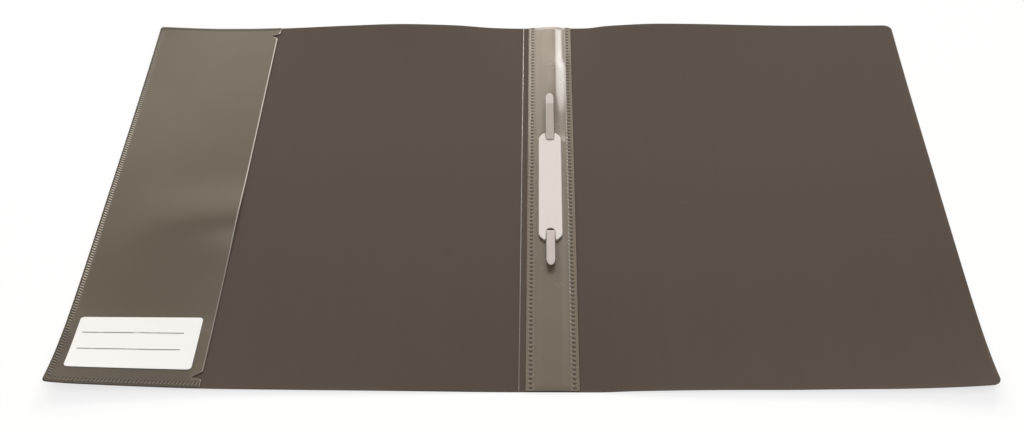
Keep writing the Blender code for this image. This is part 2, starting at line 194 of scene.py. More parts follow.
@dataclass(frozen=True)
class SheetBow:
    """How the lying sheet bows off the floor, repeated from the part's source.

    Each table has pairs of a share of the cover's width from the crease and a height in millimetres.
    """

    width: float
    half_height: float
    spine_flat: float = 34.0 * MM
    spine_ease: float = 17.0 * MM
    band_flat: float = 16.0 * MM
    far_curl: int = 3
    near_curl: int = 5
    front_far: tuple[Point, ...] = (
        (0.0, 0.0), (0.07, 0.4), (0.20, 3.0), (0.34, 4.0), (0.48, 2.8), (0.62, 1.1),
        (0.70, 0.3), (0.76, 0.0), (0.83, 0.0), (0.90, 0.5), (1.0, 1.8),
    )
    front_near: tuple[Point, ...] = (
        (0.0, 0.0), (0.26, 0.8), (0.45, 1.4), (0.62, 2.0), (0.68, 2.4), (0.79, 3.7),
        (0.87, 4.9), (0.95, 6.3), (1.0, 7.9),
    )
    back_far: tuple[Point, ...] = (
        (0.0, 0.0), (0.16, 0.3), (0.24, 2.3), (0.37, 3.8), (0.48, 3.4), (0.62, 2.45),
        (0.75, 1.85), (1.0, 1.95),
    )
    back_near: tuple[Point, ...] = (
        (0.0, 0.0), (0.16, 0.1), (0.26, 1.2), (0.45, 2.2), (0.55, 2.3), (0.70, 3.0),
        (0.78, 3.3), (0.90, 4.65), (1.0, 6.8),
    )

    @staticmethod
    def eased(table: tuple[Point, ...], share: float) -> float:
        """Read a table at a share of the width, smooth and without overshoot.

        Args:
            table: Pairs of share and height in millimetres.
            share: Where to read it, from 0 to 1.

        Returns:
            The height in metres.
        """
        share = min(max(share, table[0][0]), table[-1][0])
        slopes = [(b[1] - a[1]) / (b[0] - a[0]) for a, b in zip(table, table[1:])]
        tangents = [0.0]
        for before, after in zip(slopes, slopes[1:]):
            same = before * after > 0
            tangents.append(2 * before * after / (before + after) if same else 0.0)
        tangents.append(slopes[-1])
        for k, (left, right) in enumerate(zip(table, table[1:])):
            if share <= right[0]:
                span = right[0] - left[0]
                t = (share - left[0]) / span
                value = (2 * t ** 3 - 3 * t ** 2 + 1) * left[1] + (3 * t ** 2 - 2 * t ** 3) * right[1]
                value += (t ** 3 - 2 * t ** 2 + t) * span * tangents[k]
                value += (t ** 3 - t ** 2) * span * tangents[k + 1]
                return value * MM
        return table[-1][1] * MM

    def height(self, x: float, y: float) -> float:
        """Height of the sheet's underside over the floor.

        Args:
            x: Place across the folder.
            y: Place along the crease.

        Returns:
            The height in metres.
        """
        if 0.0 <= x <= self.spine_flat:
            return 0.0
        far, near = (self.back_far, self.back_near) if x > 0 else (self.front_far, self.front_near)
        table, curl = (far, self.far_curl) if y > 0 else (near, self.near_curl)
        reach = (abs(y) - self.band_flat) / (self.half_height - self.band_flat)
        height = self.eased(table, abs(x) / self.width) * max(reach, 0.0) ** curl
        if x > 0:
            height *= smooth((x - self.spine_flat) / self.spine_ease)
        return height


class Layer:
    """Points and faces that become a piece, with masks that its finish reads."""

    def __init__(self, *masks: Mask) -> None:
        """Start an empty layer that carries the given masks."""
        self.bm = bmesh.new()
        self.masks = {mask: self.bm.verts.layers.float.new(mask.value) for mask in masks}

    def point(self, x: float, y: float, z: float, masks: dict[Mask, float] | None = None) -> Vert:
        """Add one point.

        Args:
            x: Place across the folder.
            y: Place along the crease.
            z: Height.
            masks: Mask values at the point.

        Returns:
            The new vertex.
        """
        vert = self.bm.verts.new((x, y, z))
        for mask, value in (masks or {}).items():
            vert[self.masks[mask]] = value
        return vert

    def grid(self, rows: Rows, skip: set[tuple[int, int]] = frozenset()) -> None:
        """Join rows of points with four-sided faces.

        Args:
            rows: Rows with the same count of points.
            skip: Cells (column, row) that are left open.
        """
        for j, (below, above) in enumerate(zip(rows, rows[1:])):
            for i in range(len(below) - 1):
                if (i, j) not in skip:
                    self.bm.faces.new((below[i], below[i + 1], above[i + 1], above[i]))

    def tube(self, rings: Rows) -> None:
        """Join closed rings of points with four-sided faces."""
        self.grid([[*ring, ring[0]] for ring in rings])

    def stitch(self, one: Sequence[Vert], other: Sequence[Vert]) -> None:
        """Join two chains that run the same way but differ in count, with triangles.

        Args:
            one: First chain.
            other: Second chain.
        """
        shares = []
        for chain in (one, other):
            run = [0.0]
            for a, b in zip(chain, chain[1:]):
                run.append(run[-1] + (b.co - a.co).length)
            shares.append([r / run[-1] for r in run])
        i = j = 0
        while i < len(one) - 1 or j < len(other) - 1:
            if j == len(other) - 1 or (i < len(one) - 1 and shares[0][i + 1] <= shares[1][j + 1]):
                self.bm.faces.new((one[i], one[i + 1], other[j]))
                i += 1
            else:
                self.bm.faces.new((one[i], other[j + 1], other[j]))
                j += 1

    def sheet(self, name: str, thickness: float, rim: float, way: float = -1.0) -> Piece:
        """Close the layer into a sheet of even thickness with a rounded rim.

        Args:
            name: Piece name.
            thickness: Thickness of the sheet.
            rim: Radius of the rounded rim.
            way: -1 if the layer is the sheet's top, 0 if it is its middle.

        Returns:
            The piece.
        """
        bmesh.ops.recalc_face_normals(self.bm, faces=self.bm.faces)
        if sum(face.normal.z * face.calc_area() for face in self.bm.faces) < 0:
            bmesh.ops.reverse_faces(self.bm, faces=self.bm.faces)
        piece = solid(name, self.bm)
        thick = piece.modifiers.new("thick", "SOLIDIFY")
        thick.thickness = thickness
        thick.offset = way
        thick.use_even_offset = True
        bevel = piece.modifiers.new("rim", "BEVEL")
        bevel.limit_method = "ANGLE"
        bevel.angle_limit = RIM_ANGLE
        bevel.width = rim
        bevel.segments = RIM_STEPS
        return settled(piece)

    def closed(self, name: str) -> Piece:
        """Turn a layer whose faces already close it into a piece."""
        bmesh.ops.recalc_face_normals(self.bm, faces=self.bm.faces)
        return settled(solid(name, self.bm))


def solid(name: str, bm: bmesh.types.BMesh) -> Piece:
    """Turn a bmesh into a named piece in the scene.

    Args:
        name: Piece name.
        bm: The shape, which is freed.

    Returns:
        The piece.
    """
    mesh = bpy.data.meshes.new(name)
    bm.to_mesh(mesh)
    bm.free()
    piece = bpy.data.objects.new(name, mesh)
    bpy.context.scene.collection.objects.link(piece)
    return piece


def settled(piece: Piece) -> Piece:
    """Apply a piece's modifiers and smooth it.

    Args:
        piece: The piece.

    Returns:
        The same piece with its final mesh.
    """
    graph = bpy.context.evaluated_depsgraph_get()
    shaped = piece.evaluated_get(graph)
    mesh = bpy.data.meshes.new_from_object(shaped, preserve_all_data_layers=True, depsgraph=graph)
    piece.modifiers.clear()
    old, piece.data = piece.data, mesh
    bpy.data.meshes.remove(old)
    mesh.name = piece.name
    mesh.shade_smooth()
    mesh.set_sharp_from_angle(angle=SMOOTH_ANGLE)
    return piece


def dressed(piece: Piece, nodes: Sequence[str], finish: Material) -> Piece:
    """Give a piece its material and the CAD nodes that it stands for.

    Args:
        piece: The piece, in its final mesh.
        nodes: CAD nodes that it stands for.
        finish: Material.

    Returns:
        The piece.
    """
    piece.data.materials.clear()
    piece.data.materials.append(finish)
    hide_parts(*nodes)
    LOG.info("%s: %d faces, stands for %s", piece.name, len(piece.data.polygons), ", ".join(nodes))
    return piece


def placed(piece: Piece, body: Body, nodes: Sequence[str], finish: Material) -> Piece:
    """Dress a piece and put it on its body in place of its CAD nodes.

    Args:
        piece: The piece, in its final mesh.
        body: Body that carries it.
        nodes: CAD nodes that it stands for.
        finish: Material.

    Returns:
        The piece.
    """
    dressed(piece, nodes, finish)
    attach(piece, body.value)
    return piece


class Bench:
    """Places and links the nodes of one shader tree."""

    def __init__(self, tree: bpy.types.NodeTree) -> None:
        """Work in the given tree."""
        self.tree = tree

    def add(self, kind: str, **settings: object) -> bpy.types.Node:
        """Add a node and set its properties.

        Args:
            kind: Blender's node type.
            settings: Properties of the node.

        Returns:
            The node.
        """
        node = self.tree.nodes.new(kind)
        for name, value in settings.items():
            setattr(node, name, value)
        return node

    def feed(self, socket: Socket, value: Value | Colour) -> None:
        """Link a socket to another, or set its own value.

        Args:
            socket: Input that is fed.
            value: An output to link, a number or a colour.
        """
        if isinstance(value, Socket):
            self.tree.links.new(value, socket)
        elif isinstance(value, tuple):
            socket.default_value = (*value, 1.0) if socket.type == "RGBA" else value
        else:
            socket.default_value = value

    def fill(self, node: bpy.types.Node, **values: Value | Colour) -> None:
        """Feed several inputs of a node.

        Args:
            node: The node.
            values: What feeds each input, with _ for a space in its name.
        """
        for label, value in values.items():
            self.feed(node.inputs[label.replace("_", " ")], value)

    def chain(self, node: bpy.types.Node, *values: Value) -> None:
        """Feed the first inputs of a node in order."""
        for socket, value in zip(node.inputs, values):
            self.feed(socket, value)

    def math(self, operation: str, *values: Value) -> Socket:
        """Add a math node.

        Args:
            operation: Blender's name of the operation.
            values: Its inputs.

        Returns:
            The result.
        """
        node = self.add("ShaderNodeMath", operation=operation)
        self.chain(node, *values)
        return node.outputs[0]

    def mix(
        self, share: Value, first: Value | Colour, second: Value | Colour, kind: Mixed = Mixed.COLOUR
    ) -> Socket:
        """Mix two colours or two numbers.

        Args:
            share: Share of the second.
            first: First of the two.
            second: Second of the two.
            kind: What they are.

        Returns:
            The mixed colour or number.
        """
        name, one, other, result = kind.value
        node = self.add("ShaderNodeMix", data_type=name)
        for index, value in ((0, share), (one, first), (other, second)):
            self.feed(node.inputs[index], value)
        return node.outputs[result]

    def blend(self, share: Value, first: Value, second: Value) -> Socket:
        """Mix two numbers."""
        return self.mix(share, first, second, Mixed.NUMBER)

    def toned(self, share: Value, colour: Colour, by: float) -> Socket:
        """Vary a colour's tone up and down by a share of it."""
        return self.mix(share, shaded(colour, 1.0 - by), shaded(colour, 1.0 + by))

    def noise(self, place: Socket, scale: Value, detail: float, stretch: Triple | None = None) -> Socket:
        """Add a noise pattern.

        Args:
            place: Coordinates.
            scale: Repeats for each metre.
            detail: Octaves.
            stretch: Scale of each axis, where they differ.

        Returns:
            A value about one half.
        """
        if stretch is not None:
            mapping = self.add("ShaderNodeMapping")
            self.fill(mapping, Vector=place, Scale=stretch)
            place = mapping.outputs["Vector"]
        node = self.add("ShaderNodeTexNoise")
        self.fill(node, Vector=place, Scale=scale, Detail=detail)
        return node.outputs["Fac"]

    def step(self, value: Value, low: float, high: float) -> Socket:
        """Ease a value from 0 at low to 1 at high.

        Args:
            value: The value.
            low: Where the result is 0.
            high: Where the result is 1.

        Returns:
            The eased value.
        """
        node = self.add("ShaderNodeMapRange", interpolation_type="SMOOTHSTEP")
        self.fill(node, Value=value, From_Min=low, From_Max=high)
        return node.outputs["Result"]

    def place(self) -> Socket:
        """Coordinates of the piece in metres."""
        return self.add("ShaderNodeTexCoord").outputs["Object"]

    def mask(self, mask: Mask) -> Socket:
        """A mask that the mesh carries."""
        return self.add("ShaderNodeAttribute", attribute_name=mask.value).outputs["Fac"]

    def bump(self, height: Value, strength: float, distance: float) -> Socket:
        """Turn a height into a normal.

        Args:
            height: Height pattern from 0 to 1.
            strength: Strength of the bump.
            distance: Height of the pattern in metres.

        Returns:
            The normal.
        """
        node = self.add("ShaderNodeBump")
        self.fill(node, Strength=strength, Distance=distance, Height=height)
        return node.outputs["Normal"]


class Effect:
    """A shader node group that several finishes share."""

    def __init__(self, name: str, inputs: dict[str, float], outputs: Sequence[str]) -> None:
        """Make the group with its sockets.

        Args:
            name: Name of the group.
            inputs: Names of its inputs, with their usual values.
            outputs: Names of its outputs.
        """
        self.tree = bpy.data.node_groups.new(name, "ShaderNodeTree")
        for label, usual in inputs.items():
            socket = self.tree.interface.new_socket(label, in_out="INPUT", socket_type="NodeSocketFloat")
            socket.default_value = usual
        for label in outputs:
            self.tree.interface.new_socket(label, in_out="OUTPUT", socket_type="NodeSocketFloat")
        self.bench = Bench(self.tree)
        self.given = self.bench.add("NodeGroupInput").outputs
        self.made = self.bench.add("NodeGroupOutput")

    def put(self, bench: Bench, **values: Value) -> bpy.types.bpy_prop_collection:
        """Place the group in a material.

        Args:
            bench: Bench of the material.
            values: Values or links of its inputs, with _ for a space in a name.

        Returns:
            The group's outputs.
        """
        node = bench.add("ShaderNodeGroup", node_tree=self.tree)
        bench.fill(node, **values)
        return node.outputs


@dataclass
class Effects:
    """The effects that the folder's finishes share, each built once.

    Scales are repeats for each metre, and pairs are where a pattern starts to show and shows in full.
    """

    coarse_ratio: float = 0.23
    coarse_share: float = 0.35
    drawn_stretch: Triple = (260.0, 5.0, 30.0)
    drawn_share: float = 0.4
    mottle_share: float = 0.5
    patch_scale: float = 14.0
    patch_scuffed: Point = (0.5, 0.7)
    patch_worn: Point = (0.35, 0.65)
    hair_stretch: Triple = (1.0, 4.5, 1.0)
    hair_seen: Point = (0.60, 0.72)
    speck_scale: float = 900.0
    speck_seen: Point = (0.79, 0.84)
    cloud_scale: float = 22.0
    ripple_scale: float = 70.0
    ripple_stretch: Triple = (1.0, 0.45, 1.0)
    smear_scale: float = 130.0
    ridge_alpha: float = 0.9
    fused_alpha: float = 0.88
    lip_alpha: float = 0.95
    matt_rough: float = 0.5

    def __post_init__(self) -> None:
        """Build every effect."""
        self.grain = self.build_grain()
        self.handling = self.build_handling()
        self.haze = self.build_haze()

    def build_grain(self) -> Effect:
        """Build fine moulded grain with slow drift of tone and gloss.

        Returns:
            The effect.
        """
        effect = Effect(
            "plastic_grain",
            {"Fine Scale": 2600.0, "Drift Scale": 9.0, "Rough Low": 0.5, "Rough High": 0.6},
            ("Height", "Tone", "Roughness"),
        )
        bench, given = effect.bench, effect.given
        place = bench.place()
        fine = bench.noise(place, given["Fine Scale"], detail=2.0)
        coarse_scale = bench.math("MULTIPLY", given["Fine Scale"], self.coarse_ratio)
        coarse = bench.noise(place, coarse_scale, detail=2.0)
        drift = bench.noise(place, given["Drift Scale"], detail=4.0)
        drawn = bench.noise(place, 1.0, detail=3.0, stretch=self.drawn_stretch)
        mottle = bench.blend(self.mottle_share, drift, coarse)
        bench.fill(
            effect.made,
            Height=bench.blend(self.coarse_share, fine, coarse),
            Tone=bench.blend(self.drawn_share, drift, drawn),
            Roughness=bench.blend(mottle, given["Rough Low"], given["Rough High"]),
        )
        return effect

    def build_handling(self) -> Effect:
        """Build faint scuffs and settled dust, with wear along a rim.

        Returns:
            The effect.
        """
        effect = Effect(
            "handling_marks",
            {"Rim": 0.0, "Scuff Scale": 60.0, "Scuffs": 0.5},
            ("Wear", "Dust"),
        )
        bench, given = effect.bench, effect.given
        place = bench.place()
        patch = bench.noise(place, self.patch_scale, detail=3.0)
        hair = bench.noise(place, given["Scuff Scale"], detail=6.0, stretch=self.hair_stretch)
        hair, scuffed = bench.step(hair, *self.hair_seen), bench.step(patch, *self.patch_scuffed)
        scuff = bench.math("MULTIPLY", bench.math("MULTIPLY", hair, scuffed), given["Scuffs"])
        worn = bench.math("MULTIPLY", given["Rim"], bench.step(patch, *self.patch_worn))
        speck = bench.noise(place, self.speck_scale, detail=1.0)
        bench.fill(
            effect.made,
            Wear=bench.math("MAXIMUM", scuff, worn),
            Dust=bench.step(speck, *self.speck_seen),
        )
        return effect

    def build_haze(self) -> Effect:
        """Build the milky haze of a clear film, even where it is fused, and more opaque at a cut lip and at
        ridges that carry a painted highlight.

        Returns:
            The effect.
        """
        effect = Effect(
            "film_haze",
            {
                "Fused": 0.0, "Ridge": 0.0, "Lip": 0.0, "Matt": 0.0, "Clear": 0.8, "Milky": 0.84,
                "Rough Low": 0.1, "Rough High": 0.2,
            },
            ("Alpha", "Tone", "Roughness", "Gloss", "Height"),
        )
        bench, given = effect.bench, effect.given
        place = bench.place()
        cloud = bench.noise(place, self.cloud_scale, detail=4.0)
        alpha = bench.blend(cloud, given["Clear"], given["Milky"])
        alpha = bench.blend(given["Ridge"], alpha, self.ridge_alpha)
        alpha = bench.blend(given["Fused"], alpha, self.fused_alpha)
        smear = bench.noise(place, self.smear_scale, detail=3.0)
        rough = bench.blend(smear, given["Rough Low"], given["Rough High"])
        dull = bench.math("MAXIMUM", given["Fused"], given["Matt"])
        bench.fill(
            effect.made,
            Alpha=bench.blend(given["Lip"], alpha, self.lip_alpha),
            Tone=cloud,
            Roughness=bench.blend(given["Matt"], rough, self.matt_rough),
            Gloss=bench.math("SUBTRACT", 1.0, dull),
            Height=bench.noise(place, self.ripple_scale, detail=2.0, stretch=self.ripple_stretch),
        )
        return effect


def blank(name: str) -> tuple[Bench, bpy.types.Node, Material]:
    """Start a material.

    Args:
        name: Name of the finish.

    Returns:
        Its bench, its shader and the material.
    """
    made = bpy.data.materials.new(name)
    made.use_nodes = True
    return Bench(made.node_tree), made.node_tree.nodes["Principled BSDF"], made


@dataclass(frozen=True)
class SheetFinish:
    """Matt embossed plastic, pale where it is worn and where a fold whitens, painted pale as light on a
    riser's top and a tongue's tip, and glossy with a painted highlight on a pressed crest.
    """

    name: str
    colour: Colour
    light: Colour
    rough: Point = (0.50, 0.62)
    shine: float = 0.08
    grain: float = 2600.0
    drift: float = 9.0
    tone: float = 0.1
    bump: float = 0.16
    bump_depth: float = 0.12 * MM
    scuff_scale: float = 60.0
    scuffs: float = 0.35
    worn: float = 0.35
    dust: float = 0.25
    rim: bool = True
    folded: bool = False
    crest: float = 0.0
    crest_highlight: float = 0.5
    crest_rough: float = 0.16

    def material(self, effects: Effects) -> Material:
        """Build the material.

        Args:
            effects: Shared effects.

        Returns:
            The material.
        """
        bench, shader, made = blank(self.name)
        low, high = self.rough
        grain = effects.grain.put(
            bench, Fine_Scale=self.grain, Drift_Scale=self.drift, Rough_Low=low, Rough_High=high
        )
        rim = bench.mask(Mask.RIM) if self.rim else 0.0
        marks = effects.handling.put(bench, Rim=rim, Scuff_Scale=self.scuff_scale, Scuffs=self.scuffs)
        base = bench.toned(grain["Tone"], self.colour, self.tone)
        # Tips and folds are painted pale: whitening at a fold, painted light on a riser's top and a painted
        # highlight on a tongue's tip.
        if self.folded:
            white = bench.math("MAXIMUM", bench.mask(Mask.TIP), bench.mask(Mask.FOLD_WHITE_AND_LIGHT))
            base = bench.mix(white, base, self.light)
        base = bench.mix(bench.math("MULTIPLY", marks["Wear"], self.worn), base, self.light)
        if self.crest:
            # Painted highlight: the crest is painted pale as well as given a glossy coat.
            crest = bench.mask(Mask.RIDGE_HIGHLIGHT)
            base = bench.mix(bench.math("MULTIPLY", crest, self.crest_highlight), base, self.light)
            coat = bench.math("MULTIPLY", crest, self.crest)
            bench.fill(shader, Coat_Weight=coat, Coat_Roughness=self.crest_rough)
        if self.dust:
            base = bench.mix(bench.math("MULTIPLY", marks["Dust"], self.dust), base, self.light)
        bench.fill(
            shader,
            Base_Color=base,
            Roughness=grain["Roughness"],
            Normal=bench.bump(grain["Height"], self.bump, self.bump_depth),
            Specular_IOR_Level=self.shine,
        )
        return made


@dataclass(frozen=True)
class MouldedFinish(SheetFinish):
    """Smoother moulded plastic, kept free of dust."""

    rough: Point = (0.34, 0.48)
    shine: float = 0.25
    grain: float = 1900.0
    drift: float = 60.0
    tone: float = 0.05
    bump: float = 0.08
    bump_depth: float = 0.08 * MM
    scuff_scale: float = 180.0
    scuffs: float = 0.5
    worn: float = 0.3
    dust: float = 0.0


@dataclass(frozen=True)
class FilmFinish:
    """Clear glossy film with a milky haze, painted highlights on its seam ridges and cut lip, and dimples
    fused dark with painted shade.
    """

    name: str
    haze: Colour
    fused: Colour
    ridge: Colour
    lip: Colour
    alpha: Point = (0.80, 0.84)
    rough: Point = (0.06, 0.09)
    shine: float = 0.5
    coat: float = 0.5
    coat_rough: float = 0.08
    tone: float = 0.05
    bump: float = 0.03
    bump_depth: float = 0.6 * MM
    tint: Colour = (1.0, 0.95, 0.86)

    def material(self, effects: Effects) -> Material:
        """Build the material.

        Args:
            effects: Shared effects.

        Returns:
            The material.
        """
        bench, shader, made = blank(self.name)
        fused, ridge, lip, matt = (bench.mask(mask) for mask in FILM_MASKS)
        haze = effects.haze.put(
            bench, Fused=fused, Ridge=ridge, Lip=lip, Matt=matt, Clear=self.alpha[0], Milky=self.alpha[1],
            Rough_Low=self.rough[0], Rough_High=self.rough[1],
        )
        base = bench.toned(haze["Tone"], self.haze, self.tone)
        # Ridges and the cut lip are painted pale as highlights; fused dimples are painted dark, partly as
        # shade.
        for mask, colour in ((ridge, self.ridge), (fused, self.fused), (lip, self.lip)):
            base = bench.mix(mask, base, colour)
        behind = bench.add("ShaderNodeNewGeometry").outputs["Backfacing"]
        bench.fill(
            shader,
            Base_Color=base,
            Alpha=bench.blend(behind, haze["Alpha"], 0.0),
            Roughness=haze["Roughness"],
            Normal=bench.bump(haze["Height"], self.bump, self.bump_depth),
            Coat_Weight=bench.math("MULTIPLY", haze["Gloss"], self.coat),
            Coat_Roughness=self.coat_rough,
            Specular_IOR_Level=self.shine,
            Specular_Tint=self.tint,
        )
        return made


@dataclass(frozen=True)
class PaperFinish:
    """Coated label paper with printed writing lines."""

    name: str
    paper: Colour
    ink: Colour
    lines: tuple[float, ...]
    start: float
    end: float
    line_width: float
    line_edge: Point = (0.62, 0.38)
    wander: float = 0.35 * MM
    wander_scale: float = 90.0
    print_scale: float = 150.0
    print_stretch: Triple = (1.0, 0.1, 1.0)
    print_seen: Point = (0.05, 0.5)
    fibre_scale: float = 700.0
    fibre_stretch: Triple = (1.0, 0.5, 1.0)
    fibre_tone: float = 0.975
    scuffs: float = 0.2
    worn: float = 0.2
    worn_tone: float = 0.8
    rough: Point = (0.48, 0.62)
    ink_rough: float = 0.4
    bump: float = 0.08
    bump_depth: float = 0.08 * MM
    shine: float = 0.25

    def printed(self, bench: Bench, place: Socket) -> Socket:
        """Where the writing lines are printed.

        Args:
            bench: Bench of the material.
            place: Coordinates of the label.

        Returns:
            A mask of the lines.
        """
        parts = bench.add("ShaderNodeSeparateXYZ")
        bench.fill(parts, Vector=place)
        x, y = parts.outputs["X"], parts.outputs["Y"]
        wander = bench.math("SUBTRACT", bench.noise(place, self.wander_scale, detail=2.0), 0.5)
        level = bench.math("MULTIPLY_ADD", wander, self.wander, y)
        lines: Value = 0.0
        for line in self.lines:
            off = bench.math("ABSOLUTE", bench.math("SUBTRACT", level, line))
            lines = bench.math("MAXIMUM", bench.step(off, *shaded(self.line_edge, self.line_width)), lines)
        begun, running = bench.math("GREATER_THAN", x, self.start), bench.math("LESS_THAN", x, self.end)
        density = bench.noise(place, self.print_scale, detail=3.0, stretch=self.print_stretch)
        lines = bench.math("MULTIPLY", lines, bench.math("MULTIPLY", begun, running))
        return bench.math("MULTIPLY", lines, bench.step(density, *self.print_seen))

    def material(self, effects: Effects) -> Material:
        """Build the material.

        Args:
            effects: Shared effects.

        Returns:
            The material.
        """
        bench, shader, made = blank(self.name)
        place = bench.place()
        lines = self.printed(bench, place)
        fibre = bench.noise(place, self.fibre_scale, detail=5.0, stretch=self.fibre_stretch)
        marks = effects.handling.put(bench, Rim=bench.mask(Mask.RIM), Scuffs=self.scuffs)
        base = bench.mix(fibre, shaded(self.paper, self.fibre_tone), self.paper)
        worn = bench.math("MULTIPLY", marks["Wear"], self.worn)
        base = bench.mix(worn, base, shaded(self.paper, self.worn_tone))
        bench.fill(
            shader,
            Base_Color=bench.mix(lines, base, self.ink),
            Roughness=bench.blend(lines, bench.blend(fibre, *self.rough), self.ink_rough),
            Normal=bench.bump(fibre, self.bump, self.bump_depth),
            Specular_IOR_Level=self.shine,
        )
        return made


class Finishes:
    """Every finish of the folder, built once."""

    TAUPE: Colour = (0.085, 0.064, 0.0485)
    TAUPE_DARK: Colour = (0.045, 0.034, 0.026)
    # Pale taupe for real wear and dust, and for the painted highlight on the crease's crest.
    TAUPE_WORN_AND_LIT: Colour = (0.17, 0.14, 0.115)
    # Film fused onto the sheet, painted darker than the sheet itself as shade in the dimples.
    TAUPE_FUSED_AND_SHADED: Colour = (0.032, 0.025, 0.020)
    GREY: Colour = (0.535, 0.472, 0.434)
    # Painted shade: a darker copy of GREY for the upper tongue, which is the same plastic.
    GREY_PAINTED_SHADE: Colour = (0.445, 0.388, 0.340)
    # Pale grey for whitening at a fold, and for painted light on a riser's top and a painted highlight on a
    # tongue's tip.
    GREY_WHITENED_AND_LIT: Colour = (0.60, 0.545, 0.505)
    CREAM: Colour = (0.735, 0.680, 0.637)
    CREAM_WORN: Colour = (0.79, 0.745, 0.70)

    def __init__(self, effects: Effects, sticker: PaperFinish) -> None:
        """Build the materials.

        Args:
            effects: Shared effects.
            sticker: Finish of the label, whose lines follow its size.
        """
        sheet = SheetFinish("embossed_sheet", self.TAUPE, self.TAUPE_WORN_AND_LIT)
        crease = SheetFinish("pressed_crease", self.TAUPE, self.TAUPE_WORN_AND_LIT, bump=0.04, rim=False, crest=0.9)
        weld = SheetFinish(
            "fused_seam", self.TAUPE_DARK, self.TAUPE, rough=(0.45, 0.55), scuffs=0.1, rim=False
        )
        # The ridge and lip colours are painted highlights.
        pocket = FilmFinish(
            "pocket_film_clear", haze=(0.143, 0.116, 0.0855), fused=self.TAUPE_FUSED_AND_SHADED,
            ridge=(0.56, 0.50, 0.42), lip=(0.74, 0.68, 0.61),
            rough=(0.09, 0.13), shine=0.18, coat=0.0,
        )
        strip = FilmFinish(
            "strip_film_clear", haze=(0.151, 0.115, 0.0785), fused=self.TAUPE_FUSED_AND_SHADED,
            ridge=(0.30, 0.25, 0.19), lip=(0.24, 0.20, 0.155),
            alpha=(0.82, 0.86), rough=(0.22, 0.30), shine=0.33, coat=0.55, coat_rough=0.16,
        )
        tongue = MouldedFinish("tongue_grey", self.GREY, self.GREY_WHITENED_AND_LIT, folded=True)
        # The upper tongue's finish is the strip's grey painted darker as shade, with a painted highlight on
        # its tip.
        painted_shade = MouldedFinish("tongue_grey_veiled", self.GREY_PAINTED_SHADE, self.GREY_WHITENED_AND_LIT, folded=True)
        self.sheet = sheet.material(effects)
        self.crease = crease.material(effects)
        self.weld = weld.material(effects)
        self.pocket = pocket.material(effects)
        self.strip = strip.material(effects)
        self.paper = sticker.material(effects)
        self.tongue = tongue.material(effects)
        self.painted_shade = painted_shade.material(effects)
        self.bar = MouldedFinish("bar_cream", self.CREAM, self.CREAM_WORN).material(effects)


@dataclass
class CoverHalf:
    """One half of the bowed plastic sheet."""

    name: str
    node: str
    body: Body
    side: int
    bow: SheetBow
    fold_half: float
    thickness: float = 0.4 * MM
    corner: float = 5.0 * MM
    corner_margin: float = 1.0 * MM
    rim: float = 0.11 * MM
    wear_reach: float = 0.9 * MM
    columns: int = 58
    rows: int = 74
    corner_steps: int = 8
    outer_shares: tuple[float, ...] = (0.45, 0.78, 0.94, 1.0)

    def build(self) -> Piece:
        """Build the half as a closed sheet with round corners.

        Returns:
            The piece.
        """
        half, width = self.bow.half_height, self.bow.width
        inner = width - self.corner - self.corner_margin
        stations = spread(self.fold_half, inner, self.columns)
        levels = spread(0.0, half - self.corner, self.rows // 2)
        levels += corner_rows(half, self.corner, self.corner_steps)
        layer = Layer(Mask.RIM)
        rows = []
        for y in mirrored(merged(levels)):
            edge = width - round_edge(half, self.corner, y)
            row = []
            for s in stations + [inner + (edge - inner) * share for share in self.outer_shares]:
                near = min(edge - s, half - abs(y))
                x = self.side * s
                z = self.bow.height(x, y) + self.thickness
                row.append(layer.point(x, y, z, {Mask.RIM: math.exp(-near / self.wear_reach)}))
            rows.append(row)
        layer.grid(rows)
        return layer.sheet(self.name, self.thickness, self.rim)

    def dress(self, finishes: Finishes) -> Piece:
        """Build the half and put it in place of its CAD node."""
        return placed(self.build(), self.body, [self.node], finishes.sheet)


@dataclass
class SpineFold:
    """The strip between the covers with its pressed crease.

    The crest has places across the strip, each with a height and a share of the crest's gloss and painted
    highlight.
    """

    half_length: float
    half_width: float = 1.5 * MM
    thickness: float = 0.4 * MM
    crest: tuple[Triple, ...] = (
        (-0.85 * MM, 0.0, 0.0), (-0.71 * MM, 0.08 * MM, 0.0), (-0.57 * MM, 0.24 * MM, 0.3),
        (-0.45 * MM, 0.30 * MM, 1.0), (-0.29 * MM, 0.275 * MM, 1.0), (-0.13 * MM, 0.235 * MM, 1.0),
        (-0.01 * MM, 0.19 * MM, 0.5), (0.09 * MM, 0.06 * MM, 0.0), (0.19 * MM, 0.0, 0.0),
    )
    steps: int = 7
    rows: int = 62

    def profile(self) -> list[Triple]:
        """Outline the strip's top from one cover to the other.

        Returns:
            Places across the strip, each with its height and its share of the gloss and painted highlight.
        """
        left = spread(-self.half_width, self.crest[0][0], self.steps)[:-1]
        right = spread(self.crest[-1][0], self.half_width, self.steps)[1:]
        before, after = ([(x, 0.0, 0.0) for x in side] for side in (left, right))
        return [(x, self.thickness + z, gloss_and_highlight) for x, z, gloss_and_highlight in [*before, *self.crest, *after]]

    def build(self) -> Piece:
        """Build the strip as a closed ribbon.

        Returns:
            The piece.
        """
        top = self.profile()
        outline = top + [(x, 0.0, 0.0) for x, _, _ in reversed(top)]
        layer = Layer(Mask.RIDGE_HIGHLIGHT)
        rings = []
        for y in spread(-self.half_length, self.half_length, self.rows):
            rings.append([layer.point(x, y, z, {Mask.RIDGE_HIGHLIGHT: gloss_and_highlight}) for x, z, gloss_and_highlight in outline])
        layer.tube(rings)
        count = len(top)
        for ring in (rings[0], rings[-1]):
            layer.grid([ring[:count], ring[:count - 1:-1]])
        return layer.closed("spine_fold")

    def dress(self, finishes: Finishes) -> Piece:
        """Build the strip between the covers and bake its transform into its mesh.

        Args:
            finishes: Finishes of the folder.

        Returns:
            The piece.
        """
        piece = dressed(self.build(), ["hinge_crease"], finishes.crease)
        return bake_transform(piece)


